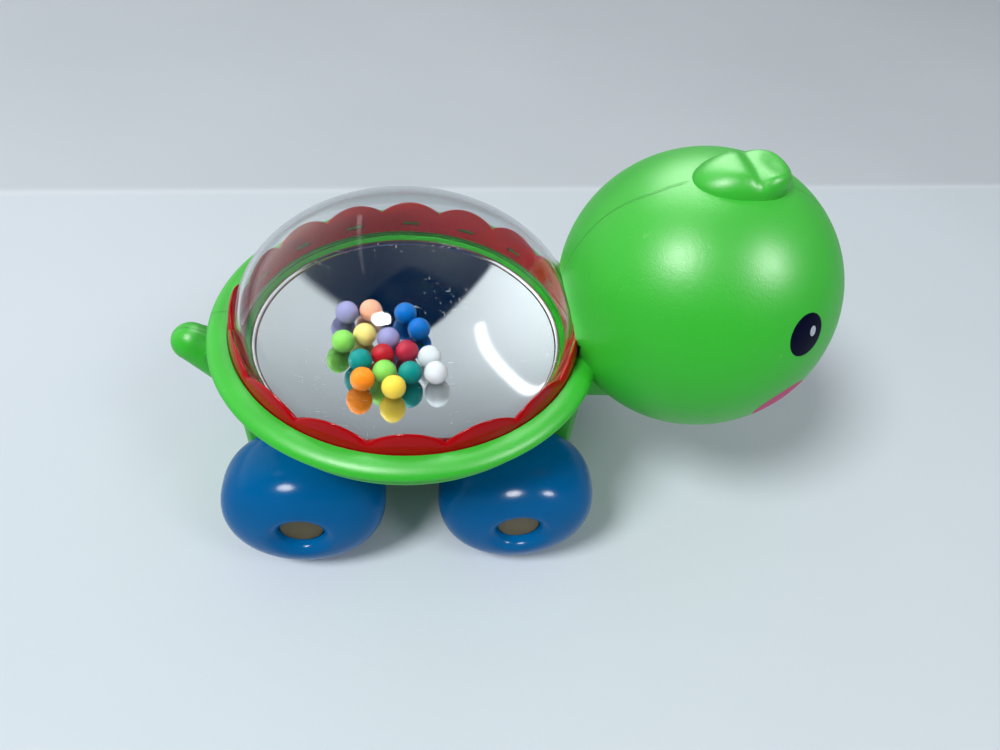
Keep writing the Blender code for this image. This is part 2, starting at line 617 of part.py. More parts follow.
def mirror_dish(material):
    """The chromed dish: a shallow bowl with a rolled rim, a foot on the ledge and a hole in the middle."""
    roll_r = DISH_RADIUS - DISH_ROLL
    roll_z = DISH_TOP_Z - DISH_ROLL
    hole = PLUNGER_RADIUS + RUNNING_GAP
    foot_z = LEDGE_Z + FIT_GAP
    profile = [(DISH_RADIUS, foot_z)] + arc(roll_r, roll_z, DISH_ROLL, 0, 180, ROLL_STEPS)
    span = hole - DISH_LIP_RADIUS
    radii = [DISH_LIP_RADIUS + span * k / DISH_RINGS for k in range(1, DISH_RINGS + 1)]
    profile += [(r, DISH_CENTRE_Z - math.sqrt(DISH_SPHERE ** 2 - r ** 2)) for r in radii]
    under = DISH_SPHERE + DISH_WALL
    profile += [(r, DISH_CENTRE_Z - math.sqrt(under ** 2 - r ** 2)) for r in reversed(radii)]
    skirt = DISH_RADIUS - DISH_WALL
    profile += [(skirt, roll_z - DISH_WALL), (skirt, foot_z)]
    add_object("mirror_dish", turned(profile, ROUND_STEPS, (SHELL_X, 0.0, 0.0)), material)


def wheel_profile():
    """Half section of a wheel from its bore outwards, heights measured from the toy's middle plane."""
    inner_y = WHEEL_CROWN_Y - WHEEL_INNER_DEPTH
    bore = AXLE_RADIUS + FIT_GAP
    core_y = inner_y + WHEEL_CORE_DEPTH
    profile = [(bore, inner_y), (WHEEL_BOSS_RADIUS, inner_y), (WHEEL_BOSS_RADIUS, core_y)]
    profile += [(WHEEL_CORE_RADIUS, core_y), (WHEEL_CORE_RADIUS, inner_y)]
    start = -WHEEL_INNER_DEPTH / WHEEL_OUTER_DEPTH
    end = (DIP_Y - WHEEL_CROWN_Y) / WHEEL_OUTER_DEPTH
    low, high = math.asin(start), math.asin(end)
    for k in range(TREAD_RINGS + 1):
        share = math.sin(low + (high - low) * k / TREAD_RINGS)
        radius = WHEEL_RADIUS * (1 - abs(share) ** WHEEL_ROUNDNESS) ** (1 / WHEEL_ROUNDNESS)
        profile.append((radius, WHEEL_CROWN_Y + WHEEL_OUTER_DEPTH * share))
    profile += [(HUB_RADIUS, HUB_FACE_Y), (HUB_RADIUS, HUB_FLOOR_Y), (bore, HUB_FLOOR_Y)]
    return profile


def cap_profile():
    """Half section of a hub cap, with the socket that takes the end of the axle."""
    socket = AXLE_RADIUS + FIT_GAP
    edge = HUB_RADIUS - FIT_GAP
    chamfer = CAP_THICKNESS / 5
    socket_y = CAP_INNER_Y + CAP_SOCKET_DEPTH
    profile = [(0.0, socket_y), (socket, socket_y), (socket, CAP_INNER_Y), (edge, CAP_INNER_Y)]
    return profile + [(edge, CAP_OUTER_Y - chamfer), (edge - chamfer, CAP_OUTER_Y), (0.0, CAP_OUTER_Y)]


def wheel_set(name, axle_x, steel, blue, amber):
    """An axle with its two wheels and hub caps, on an empty at the axle's middle."""
    hub = pivot(name + "_axle_pivot", axle_x, AXLE_Z)
    add_object(name + "_axle", rod(AXLE_RADIUS, -AXLE_END_Y, AXLE_END_Y), steel, hub)
    for side, turn in (("left", 0.0), ("right", math.pi)):
        tread = turned(wheel_profile(), WHEEL_STEPS, along_y=True)
        wheel = add_object(f"{name}_wheel_{side}", tread, blue, hub)
        disc = turned(cap_profile(), SMALL_STEPS, along_y=True)
        cap = add_object(f"{name}_hub_cap_{side}", disc, amber, hub)
        wheel.rotation_euler.z = turn
        cap.rotation_euler.z = turn
    return hub


def star_cam(material, hub):
    """The star on the rear axle whose points kick the rocker."""
    middle = (STAR_TIP_RADIUS + STAR_HOLLOW_RADIUS) / 2
    swing = (STAR_TIP_RADIUS - STAR_HOLLOW_RADIUS) / 2
    outline = []
    count = STEPS_PER_STAR_POINT * STAR_POINTS
    for k in range(count):
        angle = 2 * math.pi * k / count
        radius = middle - swing * math.cos(STAR_POINTS * angle)
        outline.append((radius * math.cos(angle), radius * math.sin(angle)))
    piece = add_object("star_cam", plate(outline, STAR_WIDTH / 2), material, hub)
    bore = guide("star_bore", rod(AXLE_RADIUS + FIT_GAP, -STAR_WIDTH, STAR_WIDTH))
    bore.parent = hub
    combine(piece, bore, "DIFFERENCE")


def popping_gear(steel, ivory):
    """The rocker on its pin, and the plunger that it lifts."""
    hinge = pivot("rocker_pivot", PIVOT_X, PIVOT_Z)
    half = ROCKER_THICKNESS / 2
    eye_angle = math.degrees(math.asin(half / ROCKER_EYE_RADIUS))
    outline = arc(0.0, 0.0, ROCKER_EYE_RADIUS, eye_angle - 180, 180 - eye_angle, SMALL_STEPS)
    bump_x = -ROCKER_PIVOT_OFFSET
    foot = STEM_RADIUS
    bump_top = half + ROCKER_BUMP
    outline += [(bump_x + foot, half), (bump_x + foot / 3, bump_top), (bump_x - foot / 3, bump_top)]
    tail_x = REAR_AXLE_X - PIVOT_X
    outline += [(bump_x - foot, half), (tail_x - ROCKER_TAIL / 2, half), (tail_x - ROCKER_TAIL, 2 * half)]
    outline += [(tail_x - ROCKER_TAIL, 0.0), (tail_x - ROCKER_TAIL / 2, -half)]
    rocker = add_object("popper_rocker", plate(outline, ROCKER_WIDTH / 2), ivory, hinge)
    bore = guide("rocker_bore", rod(PIN_RADIUS + FIT_GAP, -ROCKER_WIDTH, ROCKER_WIDTH))
    bore.parent = hinge
    combine(rocker, bore, "DIFFERENCE")
    pin_end = CHASSIS_HALF_WIDTH - WELL_BITE - FIT_GAP
    add_object("rocker_pin", rod(PIN_RADIUS, -pin_end, pin_end), steel, hinge)
    pad_top = DISH_BOTTOM_Z
    pad_bottom = pad_top - PLUNGER_THICKNESS
    rounding = STEM_RADIUS / 3
    profile = [(0.0, STEM_BOTTOM_Z), (STEM_RADIUS - rounding, STEM_BOTTOM_Z)]
    profile += [(STEM_RADIUS, STEM_BOTTOM_Z + rounding), (STEM_RADIUS, pad_bottom)]
    profile += [(PLUNGER_RADIUS, pad_bottom), (PLUNGER_RADIUS, pad_top), (0.0, pad_top)]
    add_object("popper_plunger", turned(profile, TAIL_STEPS, (SHELL_X, 0.0, 0.0)), ivory)


def loose_balls(colours):
    """The balls, each resting in the dish at its place."""
    for number, (colour, across, beside) in enumerate(BALLS, 1):
        x = BALL_PITCH * across
        y = BALL_PITCH * beside
        reach = DISH_SPHERE - BALL_RADIUS - FIT_GAP
        z = DISH_CENTRE_Z - math.sqrt(reach ** 2 - x ** 2 - y ** 2)
        round_ball = ball(BALL_RADIUS, (0.0, 0.0, 0.0), BALL_SEGMENTS, BALL_RINGS)
        piece = add_object(f"ball_{number:02d}", round_ball, colours[colour])
        piece.location = (SHELL_X + x, y, z)


def screws(material):
    """The screws, with their heads deep in the left half."""
    for name, x, z in screw_places():
        head_y = SCREW_GRIP + FIT_GAP
        profile = [(0.0, -SCREW_BITE), (SCREW_RADIUS, -SCREW_BITE), (SCREW_RADIUS, head_y),
                   (SCREW_HEAD_RADIUS, head_y), (SCREW_HEAD_RADIUS, head_y + SCREW_HEAD_HEIGHT / 2),
                   (SCREW_HEAD_RADIUS / 2, head_y + SCREW_HEAD_HEIGHT), (0.0, head_y + SCREW_HEAD_HEIGHT)]
        piece = add_object(name, turned(profile, SMALL_STEPS, along_y=True), material)
        piece.location = (x, 0.0, z)


def main():
    clear_scene()
    green = plastic("leaf_green_plastic", (0.055, 0.50, 0.045), 0.42)
    red = plastic("collar_red_plastic", (0.42, 0.006, 0.010), 0.25)
    blue = plastic("wheel_blue_plastic", (0.003, 0.13, 0.40), 0.28)
    amber = plastic("hub_amber_plastic", (0.42, 0.20, 0.045), 0.4)
    ivory = plastic("gear_ivory_plastic", (0.75, 0.72, 0.62), 0.4)
    clear = plastic("clear_dome_plastic", (0.95, 0.97, 0.98), 0.05, clear=1.0)
    chrome = plastic("mirror_chrome", (0.85, 0.87, 0.89), 0.06, metallic=1.0)
    steel = plastic("bright_steel", (0.55, 0.56, 0.58), 0.3, metallic=1.0)
    tints = {
        "crimson": (0.37, 0.025, 0.05),
        "red": (0.42, 0.015, 0.02),
        "lavender": (0.30, 0.32, 0.50),
        "white": (0.75, 0.76, 0.77),
        "blue": (0.005, 0.12, 0.36),
        "teal": (0.004, 0.25, 0.24),
        "light_green": (0.23, 0.60, 0.14),
        "cream": (0.83, 0.70, 0.22),
        "yellow": (0.90, 0.70, 0.11),
        "peach": (0.90, 0.45, 0.25),
        "orange": (0.93, 0.30, 0.02),
    }
    ball_finishes = {name: plastic("ball_" + name, tint, 0.25) for name, tint in tints.items()}
    body_halves(green)
    dome(clear)
    scallop_collar(red)
    mirror_dish(chrome)
    wheel_set("front", FRONT_AXLE_X, steel, blue, amber)
    star_cam(ivory, wheel_set("rear", REAR_AXLE_X, steel, blue, amber))
    popping_gear(steel, ivory)
    loose_balls(ball_finishes)
    screws(steel)


main()
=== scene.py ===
# %% [markdown]
# # A push-along popping turtle
# The toy is a green moulded body on four fat blue wheels. A clear dome on its back holds small balls over a
# mirror dish, and a scalloped red collar holds the dome down. Every piece here is built around a packed
# frame that already has the right sizes and joints, so each mesh takes its place from the node that it
# stands for.

# %% The frame
import json
import math

import bmesh
import bpy
from mathutils import Matrix, Vector

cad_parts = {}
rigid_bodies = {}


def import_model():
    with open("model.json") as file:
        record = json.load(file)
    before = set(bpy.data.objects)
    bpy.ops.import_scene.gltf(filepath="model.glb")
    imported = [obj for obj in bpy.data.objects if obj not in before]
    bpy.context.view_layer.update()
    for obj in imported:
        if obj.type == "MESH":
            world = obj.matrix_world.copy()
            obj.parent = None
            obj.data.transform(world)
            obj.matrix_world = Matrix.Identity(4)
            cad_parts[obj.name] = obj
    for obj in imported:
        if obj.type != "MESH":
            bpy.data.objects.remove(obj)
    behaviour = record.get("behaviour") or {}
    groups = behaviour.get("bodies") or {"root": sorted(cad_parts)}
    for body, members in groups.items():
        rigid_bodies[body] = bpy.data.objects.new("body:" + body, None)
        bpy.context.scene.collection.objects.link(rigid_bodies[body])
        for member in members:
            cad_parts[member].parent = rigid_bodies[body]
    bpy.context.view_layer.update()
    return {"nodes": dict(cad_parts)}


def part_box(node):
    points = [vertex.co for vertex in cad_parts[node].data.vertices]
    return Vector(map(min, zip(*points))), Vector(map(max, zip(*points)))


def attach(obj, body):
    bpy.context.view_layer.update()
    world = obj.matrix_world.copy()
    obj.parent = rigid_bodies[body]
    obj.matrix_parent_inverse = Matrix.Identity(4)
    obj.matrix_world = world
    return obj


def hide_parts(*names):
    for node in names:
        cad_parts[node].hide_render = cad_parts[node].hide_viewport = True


for item in list(bpy.data.objects):
    bpy.data.objects.remove(item, do_unlink=True)
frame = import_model()

# %% [markdown]
# ## Places read from the frame
# A few driving places come from the nodes' boxes: the axis of the dome, the deck on which the collar sits,
# the two axles, and the radii of the wheels and of the dome's flange. The head is placed from the dome's
# axis and the deck. Wall sizes are then written once, in millimetres, as a maker would.

# %% Driving places
MM = 0.001


def middle(node):
    """Middle of a node's box."""
    low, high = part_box(node)
    return (low + high) / 2


def span(node):
    """Size of a node's box."""
    low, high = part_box(node)
    return high - low


COLLAR_PEAK = 2.4 * MM
SHELL_X = middle("dome").x
SHELL_AXIS = Vector((SHELL_X, 0.0, 0.0))
DECK_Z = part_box("scallop_collar")[1].z - COLLAR_PEAK
AXLE_Z = middle("front_axle").z
REAR_AXLE_X = middle("rear_axle").x
FRONT_AXLE_X = middle("front_axle").x
WHEEL_RADIUS = span("front_wheel_right").z / 2
HEAD_RADIUS = 44.6 * MM
HEAD = Vector((SHELL_X + 92.4 * MM, 0.0, DECK_Z + 11.3 * MM))
HEAD_LEAN = math.radians(5.3)
FLANGE_RADIUS = span("dome").x / 2
FLANGE_REACH = 1.6 * MM
DOME_RADIUS = FLANGE_RADIUS - FLANGE_REACH
NECK_START = SHELL_X + DOME_RADIUS
NECK_END = HEAD.x - HEAD_RADIUS / 2
FIT = 0.3 * MM
WALL = 2.4 * MM
FAR = 2 * HEAD_RADIUS
print(f"deck {DECK_Z / MM:.2f} mm, axles {AXLE_Z / MM:.2f} mm, dome axis {SHELL_X / MM:.2f} mm")

# %% [markdown]
# ## The camera
# The photograph looks down from above the near side with a short lens. The columns of the camera's matrix
# are its right, up and backward directions and its place, so the view can be written down directly.

# %% Camera
LENS = 25.2
SENSOR = 36.0
EYE_PLACE = Vector((-27.67, -170.17, 237.06)) * MM
EYE_RIGHT = Vector((0.99261, -0.07585, 0.09474))
EYE_UP = Vector((-0.00795, 0.73830, 0.67443))
EYE_FORWARD = Vector((0.12110, 0.67019, -0.73224))

scene = bpy.context.scene
lens = bpy.data.cameras.new("camera")
lens.lens = LENS
lens.sensor_width = SENSOR
lens.clip_start = 0.01
camera = bpy.data.objects.new("camera", lens)
scene.collection.objects.link(camera)
turn = Matrix((EYE_RIGHT, EYE_UP, -EYE_FORWARD)).transposed().to_4x4()
camera.matrix_world = Matrix.Translation(EYE_PLACE) @ turn
scene.camera = camera
scene.view_settings.view_transform = "Standard"
print("camera at", [round(c / MM, 1) for c in EYE_PLACE], "mm")

# %% [markdown]
# ## Shader maths as expressions
# A material is easier to read as a formula than as a web of nodes. `Wire` wraps one socket: adding or
# multiplying two wires adds a Math node, and `node` makes any other node from its settings and its inputs.

# %% Wires
class Wire:
    """A shader socket that can be used in Python expressions."""

    def __init__(self, tree, socket=None):
        self.tree = tree
        self.socket = socket

    def node(self, kind, settings=None, inputs=None, output=0):
        """Make any node: settings first, then the values or wires of its sockets."""
        made = self.tree.nodes.new(kind)
        for name, value in (settings or {}).items():
            setattr(made, name, value)
        for name, value in (inputs or {}).items():
            if isinstance(value, Wire):
                self.tree.links.new(value.socket, made.inputs[name])
            else:
                made.inputs[name].default_value = value
        return Wire(self.tree, made.outputs[output])

    def maths(self, operation, first, second):
        """A Math node on two wires or numbers."""
        return self.node("ShaderNodeMath", {"operation": operation}, {0: first, 1: second})

    def __add__(self, other):
        return self.maths("ADD", self, other)

    def __sub__(self, other):
        return self.maths("SUBTRACT", self, other)

    def __rsub__(self, other):
        return self.maths("SUBTRACT", other, self)

    def __mul__(self, other):
        return self.maths("MULTIPLY", self, other)

    __radd__ = __add__
    __rmul__ = __mul__

    def size(self):
        """Distance from zero."""
        return self.maths("ABSOLUTE", self, 0.0)

    def most(self, other):
        """The larger of two values."""
        return self.maths("MAXIMUM", self, other)

    def rise(self, low, high):
        """0 below low, 1 above high, and smooth between them."""
        inputs = {"Value": self, "From Min": low, "From Max": high}
        return self.node("ShaderNodeMapRange", {"interpolation_type": "SMOOTHSTEP"}, inputs)

    def mix(self, first, second):
        """Mix two colours by this wire."""
        settings = {"data_type": "RGBA"}
        return self.node("ShaderNodeMix", settings, {0: self, 6: first, 7: second}, output=2)

    def axis(self, name):
        """One coordinate of a vector."""
        return self.node("ShaderNodeSeparateXYZ", None, {0: self}, "XYZ".index(name))

    def dot(self, direction):
        """How far this vector points in a fixed direction."""
        return self.node("ShaderNodeVectorMath", {"operation": "DOT_PRODUCT"}, {0: self, 1: direction}, 1)

    def noise(self, scale, detail, stretch=None):
        """Noise from 0 to 1 on this vector, with scale in patches per metre."""
        place = self
        if stretch:
            place = self.node("ShaderNodeMapping", None, {"Vector": self, "Scale": stretch})
        return self.node("ShaderNodeTexNoise", None, {"Vector": place, "Scale": scale, "Detail": detail})

    def bump(self, depth, strength):
        """A normal from this wire as a height, with depth in metres."""
        return self.node("ShaderNodeBump", None, {"Height": self, "Distance": depth, "Strength": strength})


def srgb(red, green, blue):
    """A colour written as eye-dropper numbers, turned into linear light."""
    linear = []
    for value in (red, green, blue):
        share = value / 255
        linear.append(share / 12.92 if share <= 0.04045 else ((share + 0.055) / 1.055) ** 2.4)
    return (*linear, 1.0)


def deeper(tint, share):
    """A darker tone of a tint, with this share of its light."""
    return tuple(c * share for c in srgb(*tint)[:3]) + (1.0,)


def start_finish(name):
    """A new material, its shader node and a wire with Object coordinates."""
    material = bpy.data.materials.new(name)
    material.use_nodes = True
    tree = material.node_tree
    shader = tree.nodes["Principled BSDF"]
    place = Wire(tree).node("ShaderNodeTexCoord", output=3)
    print("finish:", name)
    return material, shader, place


def feed(shader, **values):
    """Set or link the shader's sockets, named with underscores for spaces."""
    for name, value in values.items():
        socket = shader.inputs[name.replace("_", " ")]
        if isinstance(value, Wire):
            value.tree.links.new(value.socket, socket)
        else:
            socket.default_value = value


print("wires ready")

# %% [markdown]
# ## Floor, light and surroundings
# The toy stands on a pale sheet under soft light. Past a line behind the toy, the floor carries painted
# shade: a slightly greyer tone that stands for the sheet turning up there. A painted highlight runs along
# that line. The world is a dim pale room for most rays. Mirror rays see a room with more in it: brighter
# above and to one side, darker towards the viewer, with a dark wedge and a strip light overhead. That is
# what the chromed dish reflects in the photograph.

# %% Floor
FLOOR_SIZE = 8.0
SHEET_EDGE_Y = 199.3 * MM
SHEET_EDGE_SLOPE = 0.0824
WALL_SHADE_BLEND = (-2.0 * MM, 6.0 * MM)
FOLD_Y = 1.0 * MM
FOLD_HIGHLIGHT = (0.5 * MM, 4.0 * MM)

material, shader, place = start_finish("pale_sheet")
edge = place.axis("Y") - place.axis("X") * SHEET_EDGE_SLOPE - SHEET_EDGE_Y
past = edge.rise(*WALL_SHADE_BLEND)
line = 1 - (edge + FOLD_Y).size().rise(*FOLD_HIGHLIGHT)
cloud = place.noise(4.0, 3.0)
near_tone = cloud.mix(srgb(208, 219, 226), srgb(222, 231, 239))
# Painted shade: the flat floor past the line is greyer, standing for the sheet turning up into a wall.
painted_wall_shade = cloud.mix(srgb(196, 204, 211), srgb(212, 219, 226))
tone = past.mix(near_tone, painted_wall_shade)
# Painted highlight: a lighter band along the line, standing for light caught where the sheet bends up.
tone = (line * 0.5).mix(tone, srgb(228, 234, 240))
weave = place.noise(900.0, 3.0)
feed(shader, Base_Color=tone, Roughness=0.75, Specular_IOR_Level=0.25, Normal=weave.bump(0.15 * MM, 0.25))
bm = bmesh.new()
bmesh.ops.create_grid(bm, x_segments=4, y_segments=4, size=FLOOR_SIZE / 2)
mesh = bpy.data.meshes.new("floor")
bm.to_mesh(mesh)
bm.free()
mesh.materials.append(material)
floor = bpy.data.objects.new("floor", mesh)
scene.collection.objects.link(floor)
print("floor", FLOOR_SIZE, "m across")

# %% World
WEDGE_LEFT = Vector((-0.454, -0.730, 0.511)).normalized()
WEDGE_RIGHT = Vector((0.718, -0.565, 0.407)).normalized()
STRIP_TOP = Vector((-0.271, 0.529, 0.804))
STRIP_FOOT = Vector((-0.223, 0.918, 0.329))
SKY_LEVEL = 0.44
PALE_LOW = (0.25, 0.27, 0.30, 1.0)
PALE_HIGH = (0.85, 0.86, 0.87, 1.0)
ROOM_LOW = (0.36, 0.39, 0.41, 1.0)
ROOM_HIGH = (2.05, 2.13, 2.17, 1.0)
BRIGHT_SIDE = (5.5, 5.6, 5.6, 1.0)
VIEWER_SIDE = (0.25, 0.28, 0.31, 1.0)
WEDGE_TONE = srgb(4, 52, 96)
STRIP_TONE = (6.5, 6.5, 6.5, 1.0)

world = bpy.data.worlds.new("soft_room")
world.use_nodes = True
scene.world = world
tree = world.node_tree
background = tree.nodes["Background"]
facing = Wire(tree).node("ShaderNodeTexCoord", output=0)
mirror_ray = Wire(tree).node("ShaderNodeLightPath", output=3)
height = facing.axis("Z").rise(-0.1, 0.8)
pale = height.mix(PALE_LOW, PALE_HIGH)
room = facing.axis("Z").rise(-0.2, 0.9).mix(ROOM_LOW, ROOM_HIGH)
room = facing.axis("X").rise(-0.8, -0.1).mix(BRIGHT_SIDE, room)
room = facing.axis("Y").rise(-0.6, 0.25).mix(VIEWER_SIDE, room)
wedge = facing.dot(WEDGE_LEFT).rise(-0.03, 0.05) * facing.dot(WEDGE_RIGHT).rise(-0.01, 0.02)
room = wedge.mix(room, WEDGE_TONE)
across = facing.dot(STRIP_TOP.cross(STRIP_FOOT).normalized()).size()
along = facing.dot((STRIP_TOP + STRIP_FOOT).normalized())
strip = (1 - across.rise(0.004, 0.017)) * along.rise(0.94, 0.955)
room = strip.mix(room, STRIP_TONE)
tree.links.new(mirror_ray.mix(pale, room).socket, background.inputs["Color"])
background.inputs["Strength"].default_value = SKY_LEVEL
print("world at", SKY_LEVEL, "of full strength")

# %% [markdown]
# ## Lamps
# Two wide soft lamps, one strong and one weak, shape the forms and throw the shadows behind the toy. They
# are left out of mirror rays, so that they do not stand in the dish. The small lamps only make highlights:
# they are left out of diffuse light, and light linking lets each shine on its own group of pieces, so that
# the dome carries one glare and no more.

# %% Lamps
DOME_TOP = Vector((SHELL_X, 0.0, DECK_Z + 28.0 * MM))
REAR_WHEEL = Vector((REAR_AXLE_X - 2.6 * MM, -46.4 * MM, AXLE_Z + 22.9 * MM))
FRONT_WHEEL = Vector((FRONT_AXLE_X + 2.0 * MM, -48.0 * MM, AXLE_Z + 20.0 * MM))
SHINE_GROUPS = ("dome", "body", "rear_wheels", "front_wheels")
shines = {name: bpy.data.collections.new("shine_" + name) for name in SHINE_GROUPS}


def add_lamp(name, aim, direction, distance, width, watts):
    """Hang a round lamp at a distance and direction from the place that it lights."""
    light = bpy.data.lights.new(name, "AREA")
    light.shape = "DISK"
    light.size = width
    light.energy = watts
    lamp = bpy.data.objects.new(name, light)
    scene.collection.objects.link(lamp)
    towards = Vector(direction).normalized()
    lamp.location = aim + towards * distance
    lamp.rotation_euler = towards.to_track_quat("Z", "Y").to_euler()
    lamp.visible_camera = False
    lamp.visible_transmission = False
    print(f"{name}: {watts} W, {distance} m away")
    return lamp


# Name, place lit, direction from there to the lamp, distance and width in metres, and watts.
SOFT_LAMPS = (
    ("lamp_soft_left", DOME_TOP, (-0.50, -0.34, 0.795), 1.7, 0.50, 22.0),
    ("lamp_soft_right", DOME_TOP, (0.528, -0.426, 0.735), 1.7, 0.50, 4.0),
)
# The same, after the group of pieces that the lamp shines on.
HIGHLIGHTS = (
    ("dome", "lamp_dome", DOME_TOP, (-0.216, 0.024, 0.976), 0.60, 0.09, 8.0),
    ("body", "lamp_left", HEAD, (-0.504, -0.337, 0.795), 0.45, 0.12, 4.3),
    ("body", "lamp_right", HEAD, (0.528, -0.426, 0.735), 0.45, 0.12, 3.1),
    ("body", "lamp_top", HEAD, (-0.05, 0.62, 0.78), 0.50, 0.40, 5.0),
    ("rear_wheels", "lamp_wheel_rear", REAR_WHEEL, (-0.313, -0.857, 0.409), 0.45, 0.13, 6.5),
    ("front_wheels", "lamp_wheel_front", FRONT_WHEEL, (-0.049, -0.995, 0.09), 0.45, 0.11, 5.2),
    ("front_wheels", "lamp_wheel_side", FRONT_WHEEL, (0.523, -0.852, 0.02), 0.45, 0.08, 2.6),
)
for settings in SOFT_LAMPS:
    add_lamp(*settings).visible_glossy = False
for group, *settings in HIGHLIGHTS:
    lamp = add_lamp(*settings)
    lamp.visible_diffuse = False
    lamp.light_linking.receiver_collection = shines[group]

# %% [markdown]
# ## Tools for solids
# Most pieces of a moulded toy are turned or cut. `turned` spins a half section into a solid, `carved` joins
# and cuts closed solids, and `finish_piece` turns a bmesh into an object that rides on a body of the frame.

# %% Modelling tools
MERGE = 0.002 * MM


def arc(centre_r, centre_h, radius, start, end, steps):
    """Points of an arc in a half section, angles in degrees from the outward direction."""
    points = []
    for k in range(steps + 1):
        angle = math.radians(start + (end - start) * k / steps)
        points.append((centre_r + radius * math.cos(angle), centre_h + radius * math.sin(angle)))
    return points


def flowing(points, steps):
    """A smooth curve through a few points of a half section."""
    path = [Vector((r, h, 0.0)) for r, h in points]
    before = [2 * path[0] - path[1]] + path[:-1]
    after = path[1:] + [2 * path[-1] - path[-2]]
    curve = []
    for k in range(len(path) - 1):
        a, b, c, d = before[k], path[k], path[k + 1], after[k + 1]
        for j in range(steps):
            t = j / steps
            p = b + (c - a) * (t / 2) + (2 * a - 5 * b + 4 * c - d) * (t * t / 2)
            p += (3 * b - a - 3 * c + d) * (t ** 3 / 2)
            curve.append((p.x, p.y))
    return curve + [points[-1]]


def turned(section, steps, centre=(0.0, 0.0, 0.0), along_y=False, bm=None):
    """Spin a closed half section of (radius, height) points round Z, or round Y."""
    bm = bm or bmesh.new()
    spot = Vector(centre)
    lift = Vector((0.0, 1.0, 0.0)) if along_y else Vector((0.0, 0.0, 1.0))
    corners = [bm.verts.new(spot + Vector((r, 0.0, 0.0)) + lift * h) for r, h in section]
    edges = [bm.edges.new(pair) for pair in zip(corners, corners[1:])]
    if section[0][0] > 0 or section[-1][0] > 0:
        edges.append(bm.edges.new((corners[-1], corners[0])))
    bmesh.ops.spin(bm, geom=corners + edges, cent=spot, axis=lift, angle=2 * math.pi, steps=steps,
                   use_merge=True)
    bmesh.ops.remove_doubles(bm, verts=bm.verts, dist=MERGE)
    bmesh.ops.recalc_face_normals(bm, faces=bm.faces)
    return bm


def rod(radius, start, end, x, z, steps, bm=None):
    """A round bar along Y."""
    section = [(0.0, start), (radius, start), (radius, end), (0.0, end)]
    return turned(section, steps, (x, 0.0, z), along_y=True, bm=bm)


def block(low, high):
    """A box between two corners."""
    bm = bmesh.new()
    low, high = Vector(low), Vector(high)
    place = Matrix.Translation((low + high) / 2) @ Matrix.Diagonal((*(high - low), 1.0))
    bmesh.ops.create_cube(bm, size=1.0, matrix=place)
    return bm


def rounded_block(low, high, corner, edge_round=0.0):
    """A box with rounded upright edges, and a rounded lower edge where one is asked for."""
    bm = block(low, high)
    upright = [e for e in bm.edges if abs(e.verts[0].co.z - e.verts[1].co.z) > corner]
    bmesh.ops.bevel(bm, geom=upright, offset=corner, segments=8, profile=0.5, affect="EDGES", material=-1)
    if edge_round:
        foot = [e for e in bm.edges if max(v.co.z for v in e.verts) < low[2] + MERGE]
        bmesh.ops.bevel(bm, geom=foot, offset=edge_round, segments=5, profile=0.5, affect="EDGES",
                        material=-1)
    return bm


def ball(radius, centre, segments, rings):
    """A sphere whose poles lie on Y, so that its rings follow the seam."""
    bm = bmesh.new()
    place = Matrix.Translation(centre) @ Matrix.Rotation(math.pi / 2, 4, "X")
    bmesh.ops.create_uvsphere(bm, u_segments=segments, v_segments=rings, radius=radius, matrix=place)
    return bm


def scratch(bm):
    """A bmesh as a passing object for a Boolean."""
    mesh = bpy.data.meshes.new("scratch")
    bm.to_mesh(mesh)
    bm.free()
    made = bpy.data.objects.new("scratch", mesh)
    scene.collection.objects.link(made)
    return made


def carved(base, *steps):
    """Apply Boolean steps, each an operation and a solid, to a solid."""
    target = scratch(base)
    tools = []
    for operation, solid in steps:
        tool = scratch(solid)
        step = target.modifiers.new(operation, "BOOLEAN")
        step.operation = operation
        step.solver = "MANIFOLD"
        step.object = tool
        tools.append(tool)
    bpy.context.view_layer.update()
    result = bmesh.new()
    result.from_object(target, bpy.context.evaluated_depsgraph_get())
    for made in [target] + tools:
        mesh = made.data
        bpy.data.objects.remove(made)
        bpy.data.meshes.remove(mesh)
    return result


def finish_piece(name, bm, material, body, nodes=(), slot=None, sharp=40):
    """Make a bmesh a piece of the toy: smooth, with a finish, on its body and in its node's place."""
    mesh = bpy.data.meshes.new(name)
    bm.to_mesh(mesh)
    bm.free()
    mesh.shade_smooth()
    mesh.set_sharp_from_angle(angle=math.radians(sharp))
    mesh.materials.append(material)
    piece = bpy.data.objects.new(name, mesh)
    scene.collection.objects.link(piece)
    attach(piece, body)
    if nodes:
        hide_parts(*nodes)
    print(f"{name}: {len(mesh.polygons)} faces")
    return piece


print("modelling tools ready")

# %% [markdown]
# ## The green finish
# The body is a soft, waxy plastic. Its skin has the fine grain of an eroded mould, which breaks highlights
# into grainy patches. It also has slow changes of colour where the wall is thicker, and a few scuffs. The
# seam is a faint darker groove, which leans with the crest on the head and stops at the crest's foot.

# %% Green plastic
CREST_FOOT = (HEAD.z + 40.5 * MM, HEAD.z + 42.5 * MM)
SEAM_WIDTH = (0.15 * MM, 0.60 * MM)

